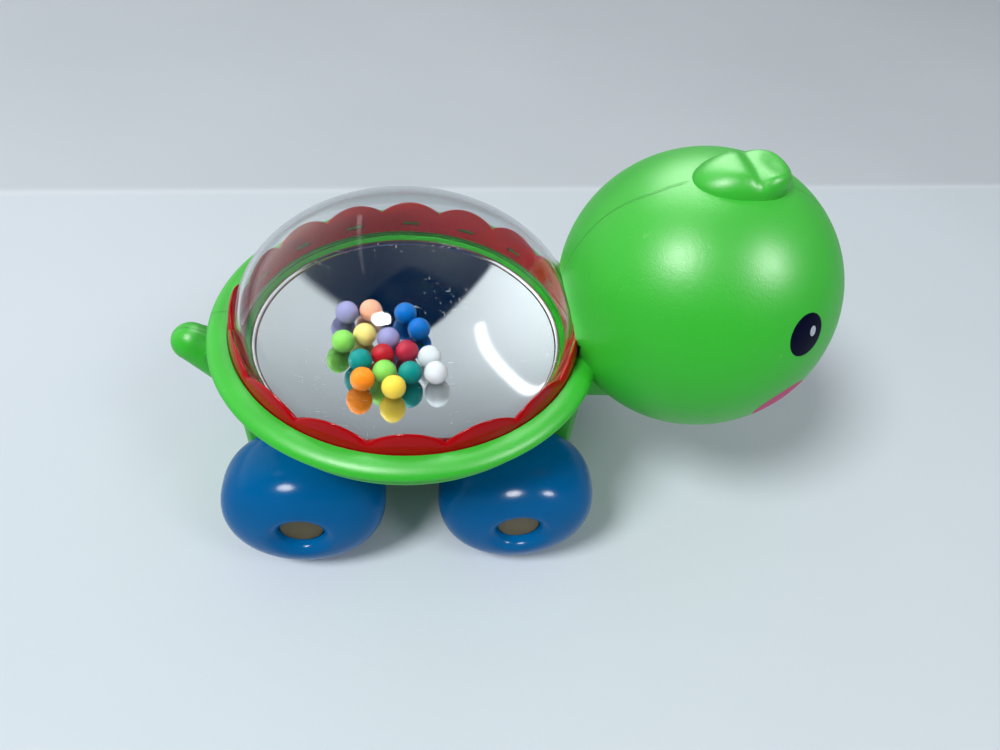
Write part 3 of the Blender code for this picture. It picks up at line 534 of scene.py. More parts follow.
material, shader, place = start_finish("leaf_green_plastic")
cloud = place.noise(26.0, 3.0)
scuff = place.noise(420.0, 4.0, (1.0, 1.0, 0.12)).rise(0.66, 0.74) * place.noise(55.0, 2.0).rise(0.5, 0.7)
lean = place.axis("X").rise(NECK_START, NECK_END) * (place.axis("Z") - HEAD.z) * math.tan(HEAD_LEAN)
off_crest = 1 - place.axis("Z").rise(*CREST_FOOT)
seam = off_crest * (1 - (place.axis("Y") + lean).size().rise(*SEAM_WIDTH))
colour = cloud.mix(srgb(41, 173, 37), srgb(54, 184, 47))
colour = (scuff * 0.3).mix(colour, srgb(140, 216, 128))
colour = (seam * 0.3).mix(colour, srgb(20, 120, 26))
grain = place.noise(2600.0, 2.0) + place.noise(700.0, 2.0) * 0.8
feed(shader, Base_Color=colour, Roughness=0.36 + grain * 0.05 + scuff * 0.1, Specular_IOR_Level=0.3)
feed(shader, Normal=(grain * 0.16 - seam * 0.6).bump(0.35 * MM, 0.7))
green = material

# %% [markdown]
# ## The body
# The body is moulded in two halves that meet on the middle plane. It is built here as one solid, joined
# from a turned deck, a chassis, a neck, a ball head, a crest and a tail, then hollowed and split. Cutting
# one solid keeps the seam true on every form that it crosses. The deck is spun from one half section, and
# the stepped room inside it, with seats for the dish, the dome and the collar, from another.

# %% Deck and its cavity
RIM_RADIUS = 58.2 * MM
RIM_REACH = 4.9 * MM
RIM_UNDER = 2.0 * MM
RIM_Z = DECK_Z - 5.4 * MM
CURVE_STEPS = 24
FLOW_STEPS = 6
GUIDE_Z = 46.86 * MM
CAVITY_FLOOR_Z = GUIDE_Z + WALL
RIM_TOP_Z = DECK_Z - 2.6 * MM
SHELF_Z = RIM_TOP_Z - 1.0 * MM
COLLAR_OUTER = FLANGE_RADIUS + 0.9 * MM
SHELF_RADIUS = COLLAR_OUTER + FIT
LEDGE_Z = DECK_Z - 13.7 * MM
LEDGE_RADIUS = DOME_RADIUS + FIT - 4.6 * MM
LEDGE_THICKNESS = 2.6 * MM
FLANGE_SEAT_Z = DECK_Z - 10.6 * MM
DOME_HEIGHT = 29.7 * MM
DOME_ROOM = 0.8 * MM
SPRING_Z = DECK_Z + 0.2 * MM
BOWL_FLOOR = 36.0 * MM
BOWL_TURN = (48.0 * MM, DECK_Z - 24.0 * MM)
BOWL_SIDE = (58.2 * MM, DECK_Z - 14.5 * MM)
BOWL_SHOULDER = (58.4 * MM, DECK_Z - 9.5 * MM)
ROUND = 176


def rim_curve(steps):
    """The rim's egg-shaped half section, from its underside to its crown."""
    points = []
    for k in range(steps + 1):
        angle = math.pi * (k / steps - 0.5)
        depth = RIM_TOP_Z - RIM_Z if angle > 0 else RIM_UNDER
        points.append((RIM_RADIUS + RIM_REACH * math.cos(angle), RIM_Z + depth * math.sin(angle)))
    return points


def vault(radius, height, rings):
    """The dome's curve from its spring line to the top."""
    points = []
    for k in range(rings + 1):
        angle = math.pi / 2 * k / rings
        points.append((radius * math.cos(angle), SPRING_Z + height * math.sin(angle)))
    points[-1] = (0.0, SPRING_Z + height)
    return points


bowl = [(BOWL_FLOOR, GUIDE_Z), BOWL_TURN, BOWL_SIDE, BOWL_SHOULDER]
section = [(0.0, GUIDE_Z)] + flowing(bowl, FLOW_STEPS) + rim_curve(CURVE_STEPS) + [(0.0, RIM_TOP_Z)]
deck = turned(section, ROUND, SHELL_AXIS)

ledge_foot = LEDGE_Z - LEDGE_THICKNESS
room = [(0.0, CAVITY_FLOOR_Z), (BOWL_FLOOR - WALL, CAVITY_FLOOR_Z)]
room += [(BOWL_TURN[0] - WALL, BOWL_TURN[1] + WALL / 2), (BOWL_SIDE[0] - 2 * WALL, ledge_foot)]
room += [(LEDGE_RADIUS, ledge_foot), (LEDGE_RADIUS, LEDGE_Z), (DOME_RADIUS + FIT, LEDGE_Z)]
room += [(DOME_RADIUS + FIT, FLANGE_SEAT_Z), (FLANGE_RADIUS + FIT, FLANGE_SEAT_Z)]
room += [(FLANGE_RADIUS + FIT, SHELF_Z), (SHELF_RADIUS, SHELF_Z)]
room += [(SHELF_RADIUS, DECK_Z + COLLAR_PEAK + 2 * FIT)]
room += vault(DOME_RADIUS + DOME_ROOM, DOME_HEIGHT + DOME_ROOM, CURVE_STEPS)[1:]
shell_room = turned(room, ROUND, SHELL_AXIS)
print("deck and its cavity turned")

# %% Chassis, neck and tail
CHASSIS_HALF = 20.0 * MM
CHASSIS_REAR = SHELL_X - 56.0 * MM
CHASSIS_FRONT = SHELL_X + 59.0 * MM
CHASSIS_FLOOR_Z = 15.92 * MM
CHASSIS_TOP_Z = BOWL_SIDE[1]
CHASSIS_CORNER = 5.0 * MM
CHASSIS_EDGE = 1.5 * MM
GUIDE_HALF = 7.0 * MM

chassis = rounded_block((CHASSIS_REAR, -CHASSIS_HALF, CHASSIS_FLOOR_Z - WALL),
                        (CHASSIS_FRONT, CHASSIS_HALF, CHASSIS_TOP_Z), CHASSIS_CORNER, CHASSIS_EDGE)
chassis_room = rounded_block((CHASSIS_REAR + WALL, -CHASSIS_HALF + WALL, CHASSIS_FLOOR_Z),
                             (CHASSIS_FRONT - WALL, CHASSIS_HALF - WALL, CHASSIS_TOP_Z - WALL),
                             CHASSIS_CORNER - WALL)
bridge = block((SHELL_X - GUIDE_HALF, -FAR, GUIDE_Z), (SHELL_X + GUIDE_HALF, FAR, CAVITY_FLOOR_Z))

NECK_RADIUS = 17.0 * MM
NECK_Z = DECK_Z - 16.4 * MM
NECK_STEPS = 72
neck = bmesh.new()
place = Matrix.Translation(((NECK_START + NECK_END) / 2, 0.0, NECK_Z))
bmesh.ops.create_cone(neck, cap_ends=True, segments=NECK_STEPS, radius1=NECK_RADIUS, radius2=NECK_RADIUS,
                      depth=NECK_END - NECK_START, matrix=place @ Matrix.Rotation(math.pi / 2, 4, "Y"))

TAIL_TIP = Vector((SHELL_X - 71.0 * MM, 0.0, DECK_Z - 16.2 * MM))
TAIL_RISE = math.radians(37.3)
TAIL_LENGTH = 29.0 * MM
TAIL_ROOT = 9.6 * MM
TAIL_WAIST = 8.8 * MM
TAIL_ROUND = 6.35 * MM
TAIL_STEPS = 64
TIP_STEPS = 14
taper = [(TAIL_ROOT, 0.0), (TAIL_WAIST, TAIL_LENGTH / 2), (TAIL_ROUND, TAIL_LENGTH)]
section = [(0.0, 0.0)] + flowing(taper, FLOW_STEPS)
section += arc(0.0, TAIL_LENGTH, TAIL_ROUND, 0, 90, TIP_STEPS)[1:-1] + [(0.0, TAIL_LENGTH + TAIL_ROUND)]
tail = turned(section, TAIL_STEPS)
place = Matrix.Translation(TAIL_TIP) @ Matrix.Rotation(TAIL_RISE - math.pi / 2, 4, "Y")
bmesh.ops.transform(tail, matrix=place @ Matrix.Translation((0.0, 0.0, -TAIL_LENGTH)), verts=tail.verts)
print("chassis, neck and tail made")

# %% [markdown]
# ## The crest
# The crest is one moulded lump on the crown: a rounded rear lobe that rises to a crease, and a front lobe
# with a dished top. It leans a little to the right, with the seam of the head. A grid is laid over the
# crown and each of its points is pushed out from the head's middle by a height rule. Extruding the grid
# inwards closes the solid.

# %% Crest
CREST_STEPS = (116, 76)
CREST_SPAN = (36.0 * MM, 24.0 * MM)
CREST_MIDDLE = 0.5 * MM
CREST_ROOT = 1.6 * MM
LEAN = Matrix.Rotation(HEAD_LEAN, 3, "X")
# Sizes for the height rule, in millimetres. An oval has its place along the crown and its half sizes, and a
# slope has its start and its end.
LUMP_OVAL = (-0.4, 13.7, 9.3)
HOLLOW_OVAL = (7.6, 6.8, 6.8)
HOLLOW_DEPTH = 1.1
FRONT_START = (-3.0, 3.5)
REAR_TOP = 3.7
REAR_RISE = 1.0
REAR_SLOPE = (-12.0, -2.0)
FRONT_TOP = 4.4
FRONT_RISE = 1.9
FRONT_SLOPE = (1.0, 9.0)
CREASE_X = 0.8
CREASE_SLANT = 0.12
CREASE_DEPTH = 0.9
CREASE_WIDTH = 1.9
SUNK_EDGE = 0.8
# Shares of the way in from an oval's outline.
BANK = 0.62
STEEPER_FRONT = 0.24
BANK_START = 0.02
HOLLOW_BANK = (0.0, 0.9)
SUNK_BANK = (-0.10, -0.02)
FULLNESS = 0.75


def ease(value, low, high):
    """0 below low, 1 above high, and smooth between them."""
    share = min(1.0, max(0.0, (value - low) / (high - low)))
    return share * share * (3 - 2 * share)


def inside(x, y, centre, length, width):
    """How far a point lies inside an oval: 1 in the middle, 0 on its outline."""
    return 1 - math.sqrt(((x - centre) / length) ** 2 + (y / width) ** 2)


def crest_height(x, y):
    """Height over the head at a place along and across the crown, in millimetres."""
    depth = inside(x, y, *LUMP_OVAL)
    front = ease(x, *FRONT_START)
    share = min(1.0, max(0.0, (depth + BANK_START) / (BANK - STEEPER_FRONT * front)))
    pillow = (1 - (1 - share) ** 2) ** FULLNESS
    rear_top = REAR_TOP + REAR_RISE * ease(x, *REAR_SLOPE)
    hollow = HOLLOW_DEPTH * ease(inside(x, y, *HOLLOW_OVAL), *HOLLOW_BANK)
    front_top = FRONT_TOP + FRONT_RISE * ease(x, *FRONT_SLOPE) - hollow
    crease = CREASE_DEPTH * math.exp(-((x - CREASE_X + CREASE_SLANT * y) / CREASE_WIDTH) ** 2)
    height = pillow * (rear_top + (front_top - rear_top) * front - crease)
    return height - SUNK_EDGE * (1 - ease(depth, *SUNK_BANK))


crest = bmesh.new()
bmesh.ops.create_grid(crest, x_segments=CREST_STEPS[0], y_segments=CREST_STEPS[1], size=1.0)
for vert in crest.verts:
    x = CREST_MIDDLE + vert.co.x * CREST_SPAN[0] / 2
    y = vert.co.y * CREST_SPAN[1] / 2
    spot = Vector((math.sin(x / HEAD_RADIUS), math.sin(y / HEAD_RADIUS), 0.0))
    spot.z = math.sqrt(1 - spot.length_squared)
    vert.co = HEAD + LEAN @ spot * (HEAD_RADIUS + crest_height(x / MM, y / MM) * MM)
inward = bmesh.ops.extrude_face_region(crest, geom=crest.faces[:])["geom"]
for vert in [part for part in inward if isinstance(part, bmesh.types.BMVert)]:
    vert.co = HEAD + (vert.co - HEAD).normalized() * (HEAD_RADIUS - CREST_ROOT)
bmesh.ops.recalc_face_normals(crest, faces=crest.faces)
print("crest:", len(crest.faces), "faces")

# %% [markdown]
# ## Hollows, holes and the seam
# The real halves are thin shells. Their rooms are cut by smaller copies of the outer forms, and bosses are
# left standing in them for the screws. Holes for the axles, the rocker's pin, the screws and the plunger
# come last. The tail tilts up past its screw, so a short boss joins the screw to it. The body is then split
# by a block whose face is the seam: it lies on the middle plane, and turns in the neck to lean with the
# crest on the head.

# %% Head, hollows and holes
SCREWS = {name: middle(name) for name in frame["nodes"] if name.startswith("screw_")}
PIVOT = middle("rocker_pin")
BOSS = 5.4 * MM
TAIL_BOSS = 4.7 * MM
TAIL_BOSS_ROOT = 1.0 * MM
TAIL_BOSS_LIP = 0.2 * MM
WELL_RADIUS = 30.5 * MM
WELL_BITE = 0.4 * MM
AXLE_HOLE = 2.5 * MM
PIN_HOLE = 1.8 * MM
STEM_HOLE = 3.5 * MM
SCREW_HOLE = 1.8 * MM
SCREW_HEAD_HOLE = 3.3 * MM
SCREW_END_Y = -7.3 * MM
SCREW_SEAT_Y = 4.5 * MM
HEAD_STEPS = (192, 120)
ROOM_STEPS = (64, 40)
WELL_STEPS = 96
BOSS_STEPS = 48
HOLE_STEPS = 32


def wheel_wells(growth):
    """The four round wells over the wheels, grown by a wall where the wall itself is wanted."""
    bm = bmesh.new()
    inner = CHASSIS_HALF - WELL_BITE - growth
    for axle_x in (REAR_AXLE_X, FRONT_AXLE_X):
        for side in (-1, 1):
            near, far = sorted((side * inner, side * (FAR - growth)))
            rod(WELL_RADIUS + growth, near, far, axle_x, AXLE_Z, WELL_STEPS, bm)
    return bm


def cross_holes():
    """Holes along Y for the axles and the rocker's pin, and the stepped screw holes."""
    bm = bmesh.new()
    reach = CHASSIS_HALF + WALL
    for axle_x in (REAR_AXLE_X, FRONT_AXLE_X):
        rod(AXLE_HOLE, -reach, reach, axle_x, AXLE_Z, HOLE_STEPS, bm)
    rod(PIN_HOLE, -reach, reach, PIVOT.x, PIVOT.z, HOLE_STEPS, bm)
    steps = [(0.0, SCREW_END_Y), (SCREW_HOLE, SCREW_END_Y), (SCREW_HOLE, SCREW_SEAT_Y)]
    steps += [(SCREW_HEAD_HOLE, SCREW_SEAT_Y), (SCREW_HEAD_HOLE, FAR), (0.0, FAR)]
    for spot in SCREWS.values():
        turned(steps, HOLE_STEPS, (spot.x, 0.0, spot.z), along_y=True, bm=bm)
    return bm


def screw_bosses(*names):
    """Round bosses across the toy that take the screws."""
    bm = bmesh.new()
    for name in names:
        rod(BOSS, -FAR, FAR, SCREWS[name].x, SCREWS[name].z, HOLE_STEPS, bm)
    return bm


tail_screw = SCREWS["screw_tail"]
boss_low, boss_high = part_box("screw_tail")
tail_boss = rod(TAIL_BOSS, boss_low.y - TAIL_BOSS_ROOT, boss_high.y + TAIL_BOSS_LIP,
                tail_screw.x, tail_screw.z, BOSS_STEPS)
head = ball(HEAD_RADIUS, HEAD, *HEAD_STEPS)
saddle_radius = SHELF_RADIUS + WALL
saddle = [(0.0, 0.0), (saddle_radius, 0.0), (saddle_radius, 2 * FAR), (0.0, 2 * FAR)]
head_room = carved(
    ball(HEAD_RADIUS - WALL, HEAD, *ROOM_STEPS),
    ("DIFFERENCE", turned(saddle, ROUND, SHELL_AXIS)),
    ("DIFFERENCE", screw_bosses("screw_head_top", "screw_head_chin")))
chassis_room = carved(chassis_room, ("DIFFERENCE", bridge), ("DIFFERENCE", screw_bosses("screw_chassis")))
shell_room = carved(shell_room, ("DIFFERENCE", wheel_wells(WALL)))
stem_foot = GUIDE_Z - WALL
stem_top = CAVITY_FLOOR_Z + WALL
stem = [(0.0, stem_foot), (STEM_HOLE, stem_foot), (STEM_HOLE, stem_top), (0.0, stem_top)]
stem_hole = turned(stem, HOLE_STEPS, SHELL_AXIS)
body = carved(
    deck,
    ("UNION", chassis), ("UNION", neck), ("UNION", head), ("UNION", crest),
    ("UNION", tail), ("UNION", tail_boss),
    ("DIFFERENCE", wheel_wells(0.0)), ("DIFFERENCE", shell_room), ("DIFFERENCE", chassis_room),
    ("DIFFERENCE", head_room), ("DIFFERENCE", cross_holes()), ("DIFFERENCE", stem_hole))
print("body:", len(body.faces), "faces")

# %% Two halves
seam_side = block((-2 * FAR, 0.0, -FAR), (2 * FAR, FAR, 3 * FAR))
for x in (NECK_START, NECK_END):
    parts = seam_side.verts[:] + seam_side.edges[:] + seam_side.faces[:]
    bmesh.ops.bisect_plane(seam_side, geom=parts, plane_co=(x, 0.0, 0.0), plane_no=(1.0, 0.0, 0.0))
for vert in seam_side.verts:
    if vert.co.y < FAR / 2 and vert.co.x > NECK_END - MERGE:
        vert.co.y -= math.tan(HEAD_LEAN) * (vert.co.z - HEAD.z)
for name, operation in (("body_right_half", "DIFFERENCE"), ("body_left_half", "INTERSECT")):
    half = carved(body.copy(), (operation, seam_side.copy()))
    shell = finish_piece(name.replace("body", "shell"), half, green, "root", [name], "leaf_green", 32)
    shines["body"].objects.link(shell)
body.free()
seam_side.free()

# %% [markdown]
# ## The clear dome
# The dome is one clear shell with a straight skirt that reaches down inside the collar to a small flange.
# Real walls bend the light, so the shell is a closed solid with an inside and an outside. Lamps would leave
# a black shadow behind such glass, so shadow rays pass straight through it.

# %% Clear plastic
material, shader, place = start_finish("clear_dome_plastic")
tree = material.node_tree
scratch_a = place.noise(300.0, 2.0, (1.0, 9.0, 1.0)).rise(0.71, 0.74)
scratch_b = place.noise(260.0, 2.0, (8.0, 1.0, 2.0)).rise(0.72, 0.75)
worn = place.noise(40.0, 2.0).rise(0.45, 0.65)
marks = scratch_a.most(scratch_b) * worn
feed(shader, Base_Color=(0.845, 0.87, 0.88, 1.0), Roughness=0.015 + marks * 0.16, IOR=1.18)
feed(shader, Transmission_Weight=1.0, Specular_IOR_Level=0.2)
shadow_ray = place.node("ShaderNodeLightPath", output=1)
open_air = place.node("ShaderNodeBsdfTransparent", None, {"Color": (0.86, 0.88, 0.89, 1.0)})
clear_wall = Wire(tree, shader.outputs[0])
glass = place.node("ShaderNodeMixShader", None, {0: shadow_ray, 1: clear_wall, 2: open_air})
tree.links.new(glass.socket, tree.nodes["Material Output"].inputs["Surface"])
clear = material

# %% Dome
DOME_WALL = 1.6 * MM
DOME_RINGS = 40
EDGE_ROUND = 0.3 * MM
EDGE_STEPS = 3
FLANGE_THICKNESS = 1.3 * MM
FLANGE_FOOT_Z = FLANGE_SEAT_Z + FIT
FLANGE_TOP_Z = FLANGE_FOOT_Z + FLANGE_THICKNESS
inner = DOME_RADIUS - DOME_WALL
foot_z = LEDGE_Z + FIT
section = vault(inner, DOME_HEIGHT - DOME_WALL, DOME_RINGS)[::-1]
section += arc(inner + EDGE_ROUND, foot_z + EDGE_ROUND, EDGE_ROUND, 180, 270, EDGE_STEPS)
section += arc(DOME_RADIUS - EDGE_ROUND, foot_z + EDGE_ROUND, EDGE_ROUND, -90, 0, EDGE_STEPS)
section += [(DOME_RADIUS, FLANGE_FOOT_Z)]
section += arc(FLANGE_RADIUS - EDGE_ROUND, FLANGE_FOOT_Z + EDGE_ROUND, EDGE_ROUND, -90, 0, EDGE_STEPS)
section += arc(FLANGE_RADIUS - EDGE_ROUND, FLANGE_TOP_Z - EDGE_ROUND, EDGE_ROUND, 0, 90, EDGE_STEPS)
section += [(DOME_RADIUS, FLANGE_TOP_Z)] + vault(DOME_RADIUS, DOME_HEIGHT, DOME_RINGS)
dome = turned(section, ROUND, SHELL_AXIS)
dome = finish_piece("clear_dome", dome, clear, "root", ["dome"], "clear_dome", 50)
shines["dome"].objects.link(dome)

# %% [markdown]
# ## The red collar
# The collar is a glossy red ring with sixteen rounded lobes that stand up against the dome. A skirt inside
# runs down to the dome's flange, with a small snap window under each lobe. One section is spun into a ring,
# and its brim is then lifted by a rule: a soft outer edge first, and then the lobes and the valleys between
# them.

# %% Red plastic
material, shader, place = start_finish("collar_red_plastic")
cloud = place.noise(60.0, 2.0)
grime = place.noise(900.0, 3.0).rise(0.55, 0.8)
colour = cloud.mix(srgb(152, 4, 11), srgb(168, 8, 15))
colour = (grime * 0.12).mix(colour, srgb(110, 8, 16))
feed(shader, Base_Color=colour, Roughness=0.14 + cloud * 0.06, Specular_IOR_Level=0.14)
feed(shader, Normal=place.noise(500.0, 2.0).bump(0.05 * MM, 0.25))
red = material

# %% Collar
SCALLOPS = 16
STEPS_PER_SCALLOP = 20
COLLAR_INNER = DOME_RADIUS + FIT + 0.2 * MM
BRIM_STEPS = 14
BRIM_FOOT = 0.1 * MM
EDGE_LIFT = 2.2 * MM
EDGE_SHARE = 0.25
LOBE_LIFT = 4.8 * MM
VALLEY_LIFT = 1.15 * MM
LOBE_ROUND = 0.8 * MM
LOBE_SHARE = 0.6
LOBE_FULLNESS = 0.8
EDGE_BEND = 0.7
LOBE_BEND = 0.9
WINDOW = (3.0 * MM, 6.0 * MM, 1.8 * MM)
WINDOW_Z = DECK_Z - 5.4 * MM
skirt_foot = FLANGE_TOP_Z + FIT
seat_z = SHELF_Z + FIT


def scallop(angle):
    """0 in a valley of the collar and 1 on a peak."""
    return abs(math.sin(SCALLOPS * angle / 2 + math.pi / 2)) ** LOBE_FULLNESS


brim_width = COLLAR_INNER - COLLAR_OUTER
brim = [(COLLAR_OUTER + brim_width * k / BRIM_STEPS, DECK_Z) for k in range(BRIM_STEPS + 1)]
section = [(COLLAR_INNER, seat_z), (COLLAR_INNER, skirt_foot), (FLANGE_RADIUS, skirt_foot)]
section += [(FLANGE_RADIUS, seat_z), (COLLAR_OUTER, seat_z)] + brim
collar = turned(section, SCALLOPS * STEPS_PER_SCALLOP, SHELL_AXIS)
for vert in collar.verts:
    if vert.co.z < DECK_Z - MERGE:
        continue
    across = vert.co.x - SHELL_X
    radius = math.hypot(across, vert.co.y)
    swell = scallop(math.atan2(vert.co.y, across))
    share = min(1.0, max(0.0, (COLLAR_OUTER - radius) / (COLLAR_OUTER - COLLAR_INNER)))
    lift = EDGE_LIFT * math.sin(math.pi / 2 * min(1.0, share / EDGE_SHARE)) ** EDGE_BEND
    lift += (LOBE_LIFT * swell + VALLEY_LIFT) * math.sin(math.pi / 2 * share) ** LOBE_BEND
    rounding = LOBE_ROUND * max(0.0, (share - LOBE_SHARE) / (1 - LOBE_SHARE)) ** 2
    vert.co.z = seat_z + BRIM_FOOT + lift - rounding
windows = bmesh.new()
for k in range(SCALLOPS):
    swing = Matrix.Rotation(2 * math.pi * k / SCALLOPS, 4, "Z")
    out = Matrix.Translation((COLLAR_INNER, 0.0, 0.0))
    spot = Matrix.Translation((SHELL_X, 0.0, WINDOW_Z)) @ swing @ out
    bmesh.ops.create_cube(windows, size=1.0, matrix=spot @ Matrix.Diagonal((*WINDOW, 1.0)))
collar = carved(collar, ("DIFFERENCE", windows))
collar = finish_piece("red_collar", collar, red, "root", ["scallop_collar"], "collar_red", 55)
shines["body"].objects.link(collar)

# %% [markdown]
# ## The mirror dish
# The dish under the balls is thin plastic with a bright metal coat: a shallow round bowl that flattens
# towards its rolled rim, with a hole for the plunger. It is nearly a perfect mirror, so what makes it
# believable is wear: fine scratches that catch the light.

# %% Chrome
material, shader, place = start_finish("mirror_chrome")
line_a = place.noise(230.0, 1.0, (1.0, 14.0, 1.0)).rise(0.735, 0.75)
line_b = place.noise(210.0, 1.0, (12.0, 1.5, 1.0)).rise(0.74, 0.755)
worn = place.noise(35.0, 2.0).rise(0.48, 0.6)
marks = line_a.most(line_b) * worn
haze = place.noise(70.0, 3.0)
feed(shader, Metallic=1.0, Roughness=0.035 + haze * 0.03 + marks * 0.35)
feed(shader, Base_Color=marks.mix((0.80, 0.83, 0.85, 1.0), (0.92, 0.93, 0.94, 1.0)))
chrome = material

# %% Dish
DISH_RADIUS = span("mirror_dish").x / 2
DISH_ROLL = 1.2 * MM
ROLL_STEPS = 14
DISH_TOP_Z = DECK_Z - 9.1 * MM
DISH_DEPTH = 13.8 * MM
DISH_WALL = 1.0 * MM
DISH_HOLE = 8.5 * MM
DISH_FLAT = 22.0 * MM
RIM_DROP = 1.5 * MM
BOWL_RINGS = 26
EDGE_INSET = 1.8 * MM
EDGE_DROP = 0.9 * MM
BOWL_EDGE = DISH_RADIUS - EDGE_INSET
DISH_SPHERE = (BOWL_EDGE ** 2 + DISH_DEPTH ** 2) / (2 * DISH_DEPTH)
DISH_CENTRE_Z = DISH_TOP_Z - EDGE_DROP - DISH_DEPTH + DISH_SPHERE
lip = DISH_RADIUS - 2 * DISH_ROLL
roll_z = DISH_CENTRE_Z - math.sqrt(DISH_SPHERE ** 2 - lip ** 2) - RIM_DROP


def bowl_curve(radius):
    """Points of the dish's round bottom from its lip to the hole in its middle."""
    points = []
    for k in range(1, BOWL_RINGS + 1):
        r = lip + (DISH_HOLE - lip) * k / BOWL_RINGS
        drop = RIM_DROP * (max(0.0, r - DISH_FLAT) / (lip - DISH_FLAT)) ** 2
        points.append((r, DISH_CENTRE_Z - math.sqrt(radius ** 2 - r ** 2) - drop))
    return points


section = [(DISH_RADIUS, foot_z)] + arc(DISH_RADIUS - DISH_ROLL, roll_z, DISH_ROLL, 0, 180, ROLL_STEPS)
section += bowl_curve(DISH_SPHERE) + bowl_curve(DISH_SPHERE + DISH_WALL)[::-1]
section += [(DISH_RADIUS - DISH_WALL, roll_z - DISH_WALL), (DISH_RADIUS - DISH_WALL, foot_z)]
dish = turned(section, ROUND, SHELL_AXIS)
finish_piece("chrome_dish", dish, chrome, "root", ["mirror_dish"], "mirror_chrome", 45)

# %% [markdown]
# ## Wheels and hub caps
# The wheels are fat glossy blue doughnuts. Each face dips softly towards the hub, where an amber cap sits
# deep in a round socket; the cap's amber is darkened to a brownish olive, painted shade of that socket. A
# flowing half section is spun round the axle. Their treads carry dull marks from rolling.

# %% Blue plastic
TREAD_Y = 36.0 * MM
TREAD_FADE = (4.0 * MM, 15.0 * MM)

material, shader, place = start_finish("wheel_blue_plastic")
cloud = place.noise(45.0, 2.0)
rolling = 1 - (place.axis("Y").size() - TREAD_Y).size().rise(*TREAD_FADE)
scuff = place.noise(900.0, 4.0, (1.0, 0.4, 1.0)).rise(0.58, 0.75) * rolling
colour = cloud.mix(srgb(0, 87, 144), srgb(0, 96, 156))
colour = (scuff * 0.08).mix(colour, srgb(84, 140, 186))
feed(shader, Base_Color=colour, Roughness=0.14 + cloud * 0.05 + scuff * 0.15, Specular_IOR_Level=0.05)
feed(shader, Normal=place.noise(260.0, 2.0).bump(0.06 * MM, 0.15))
blue = material

# %% Amber plastic, darkened with painted shade
material, shader, place = start_finish("hub_amber_plastic")
cloud = place.noise(300.0, 2.0)
# Painted shade: the cap's amber is darkened to a brownish olive, standing for the shade deep in its socket.
feed(shader, Base_Color=cloud.mix(srgb(80, 72, 38), srgb(95, 83, 45)), Roughness=0.45 + cloud * 0.1)
feed(shader, Specular_IOR_Level=0.3)
amber = material

# %% Wheels
CROWN_Y = 34.6 * MM
OUTER_DEPTH = 17.4 * MM
INNER_DEPTH = 13.2 * MM
ROUNDNESS = 2.6
TREAD_STEPS = 44
DIP_RADIUS = 12.5 * MM
DIP_STEPS = 5
HUB_RADIUS = 7.6 * MM
CAP_OUTER_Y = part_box("front_hub_cap_left")[1].y
CAP_INNER_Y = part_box("front_hub_cap_left")[0].y
CAP_SOCKET = 1.6 * MM
CAP_ROUND = 0.7 * MM
CAP_STEPS = 6
BORE = 2.3 * MM
AXLE_BOSS = 6.0 * MM
CORE_RADIUS = 16.5 * MM
CORE_DEPTH = 12.0 * MM
WHEEL_STEPS = 112
inner_y = CROWN_Y - INNER_DEPTH
core_y = inner_y + CORE_DEPTH


def tread(share):
    """A point of the tread's outline at a share of its depth, outwards from the crown."""
    return WHEEL_RADIUS * (1 - abs(share) ** ROUNDNESS) ** (1 / ROUNDNESS), CROWN_Y + OUTER_DEPTH * share


section = [(BORE, inner_y), (AXLE_BOSS, inner_y), (AXLE_BOSS, core_y)]
section += [(CORE_RADIUS, core_y), (CORE_RADIUS, inner_y)]
dip_share = (1 - (DIP_RADIUS / WHEEL_RADIUS) ** ROUNDNESS) ** (1 / ROUNDNESS)
first = math.asin(-INNER_DEPTH / OUTER_DEPTH)
last = math.asin(dip_share)
section += [tread(math.sin(first + (last - first) * k / TREAD_STEPS)) for k in range(TREAD_STEPS)]
dip_y = CROWN_Y + OUTER_DEPTH * dip_share
dip = [(DIP_RADIUS, dip_y), (10.6 * MM, dip_y + 0.05 * MM), (8.8 * MM, dip_y - 0.75 * MM)]
dip += [(7.9 * MM, dip_y - 1.45 * MM), (HUB_RADIUS, dip_y - 1.9 * MM)]
section += flowing(dip, DIP_STEPS)
section += [(HUB_RADIUS, CAP_INNER_Y - FIT), (BORE, CAP_INNER_Y - FIT)]

cap_radius = HUB_RADIUS - FIT
cap_section = [(0.0, CAP_INNER_Y + CAP_SOCKET), (BORE, CAP_INNER_Y + CAP_SOCKET), (BORE, CAP_INNER_Y)]
cap_section += [(cap_radius, CAP_INNER_Y)]
cap_section += arc(cap_radius - CAP_ROUND, CAP_OUTER_Y - CAP_ROUND, CAP_ROUND, 0, 90, CAP_STEPS)
cap_section += [(0.0, CAP_OUTER_Y)]
WHEEL_PARTS = (("wheel", section, blue, "wheel_blue"), ("hub_cap", cap_section, amber, "hub_amber"))
for end, axle_x in (("front", FRONT_AXLE_X), ("rear", REAR_AXLE_X)):
    for side, way in (("left", 1), ("right", -1)):
        for part, half_section, finish, slot in WHEEL_PARTS:
            outline = [(r, way * y) for r, y in half_section]
            shape = turned(outline, WHEEL_STEPS, (axle_x, 0.0, AXLE_Z), along_y=True)
            name = f"{end}_{part}_{side}"
            piece = finish_piece(f"{end}_{side}_{part}", shape, finish, f"{end}_wheels", [name], slot, 40)
            shines[f"{end}_wheels"].objects.link(piece)

# %% [markdown]
# ## The loose balls
# The balls are small glossy beads in eleven colours, each with a faint ridge where its two mould halves
# met. The ridge is the equator ring of a sphere, drawn out a little, and each ball is turned a different
# way.

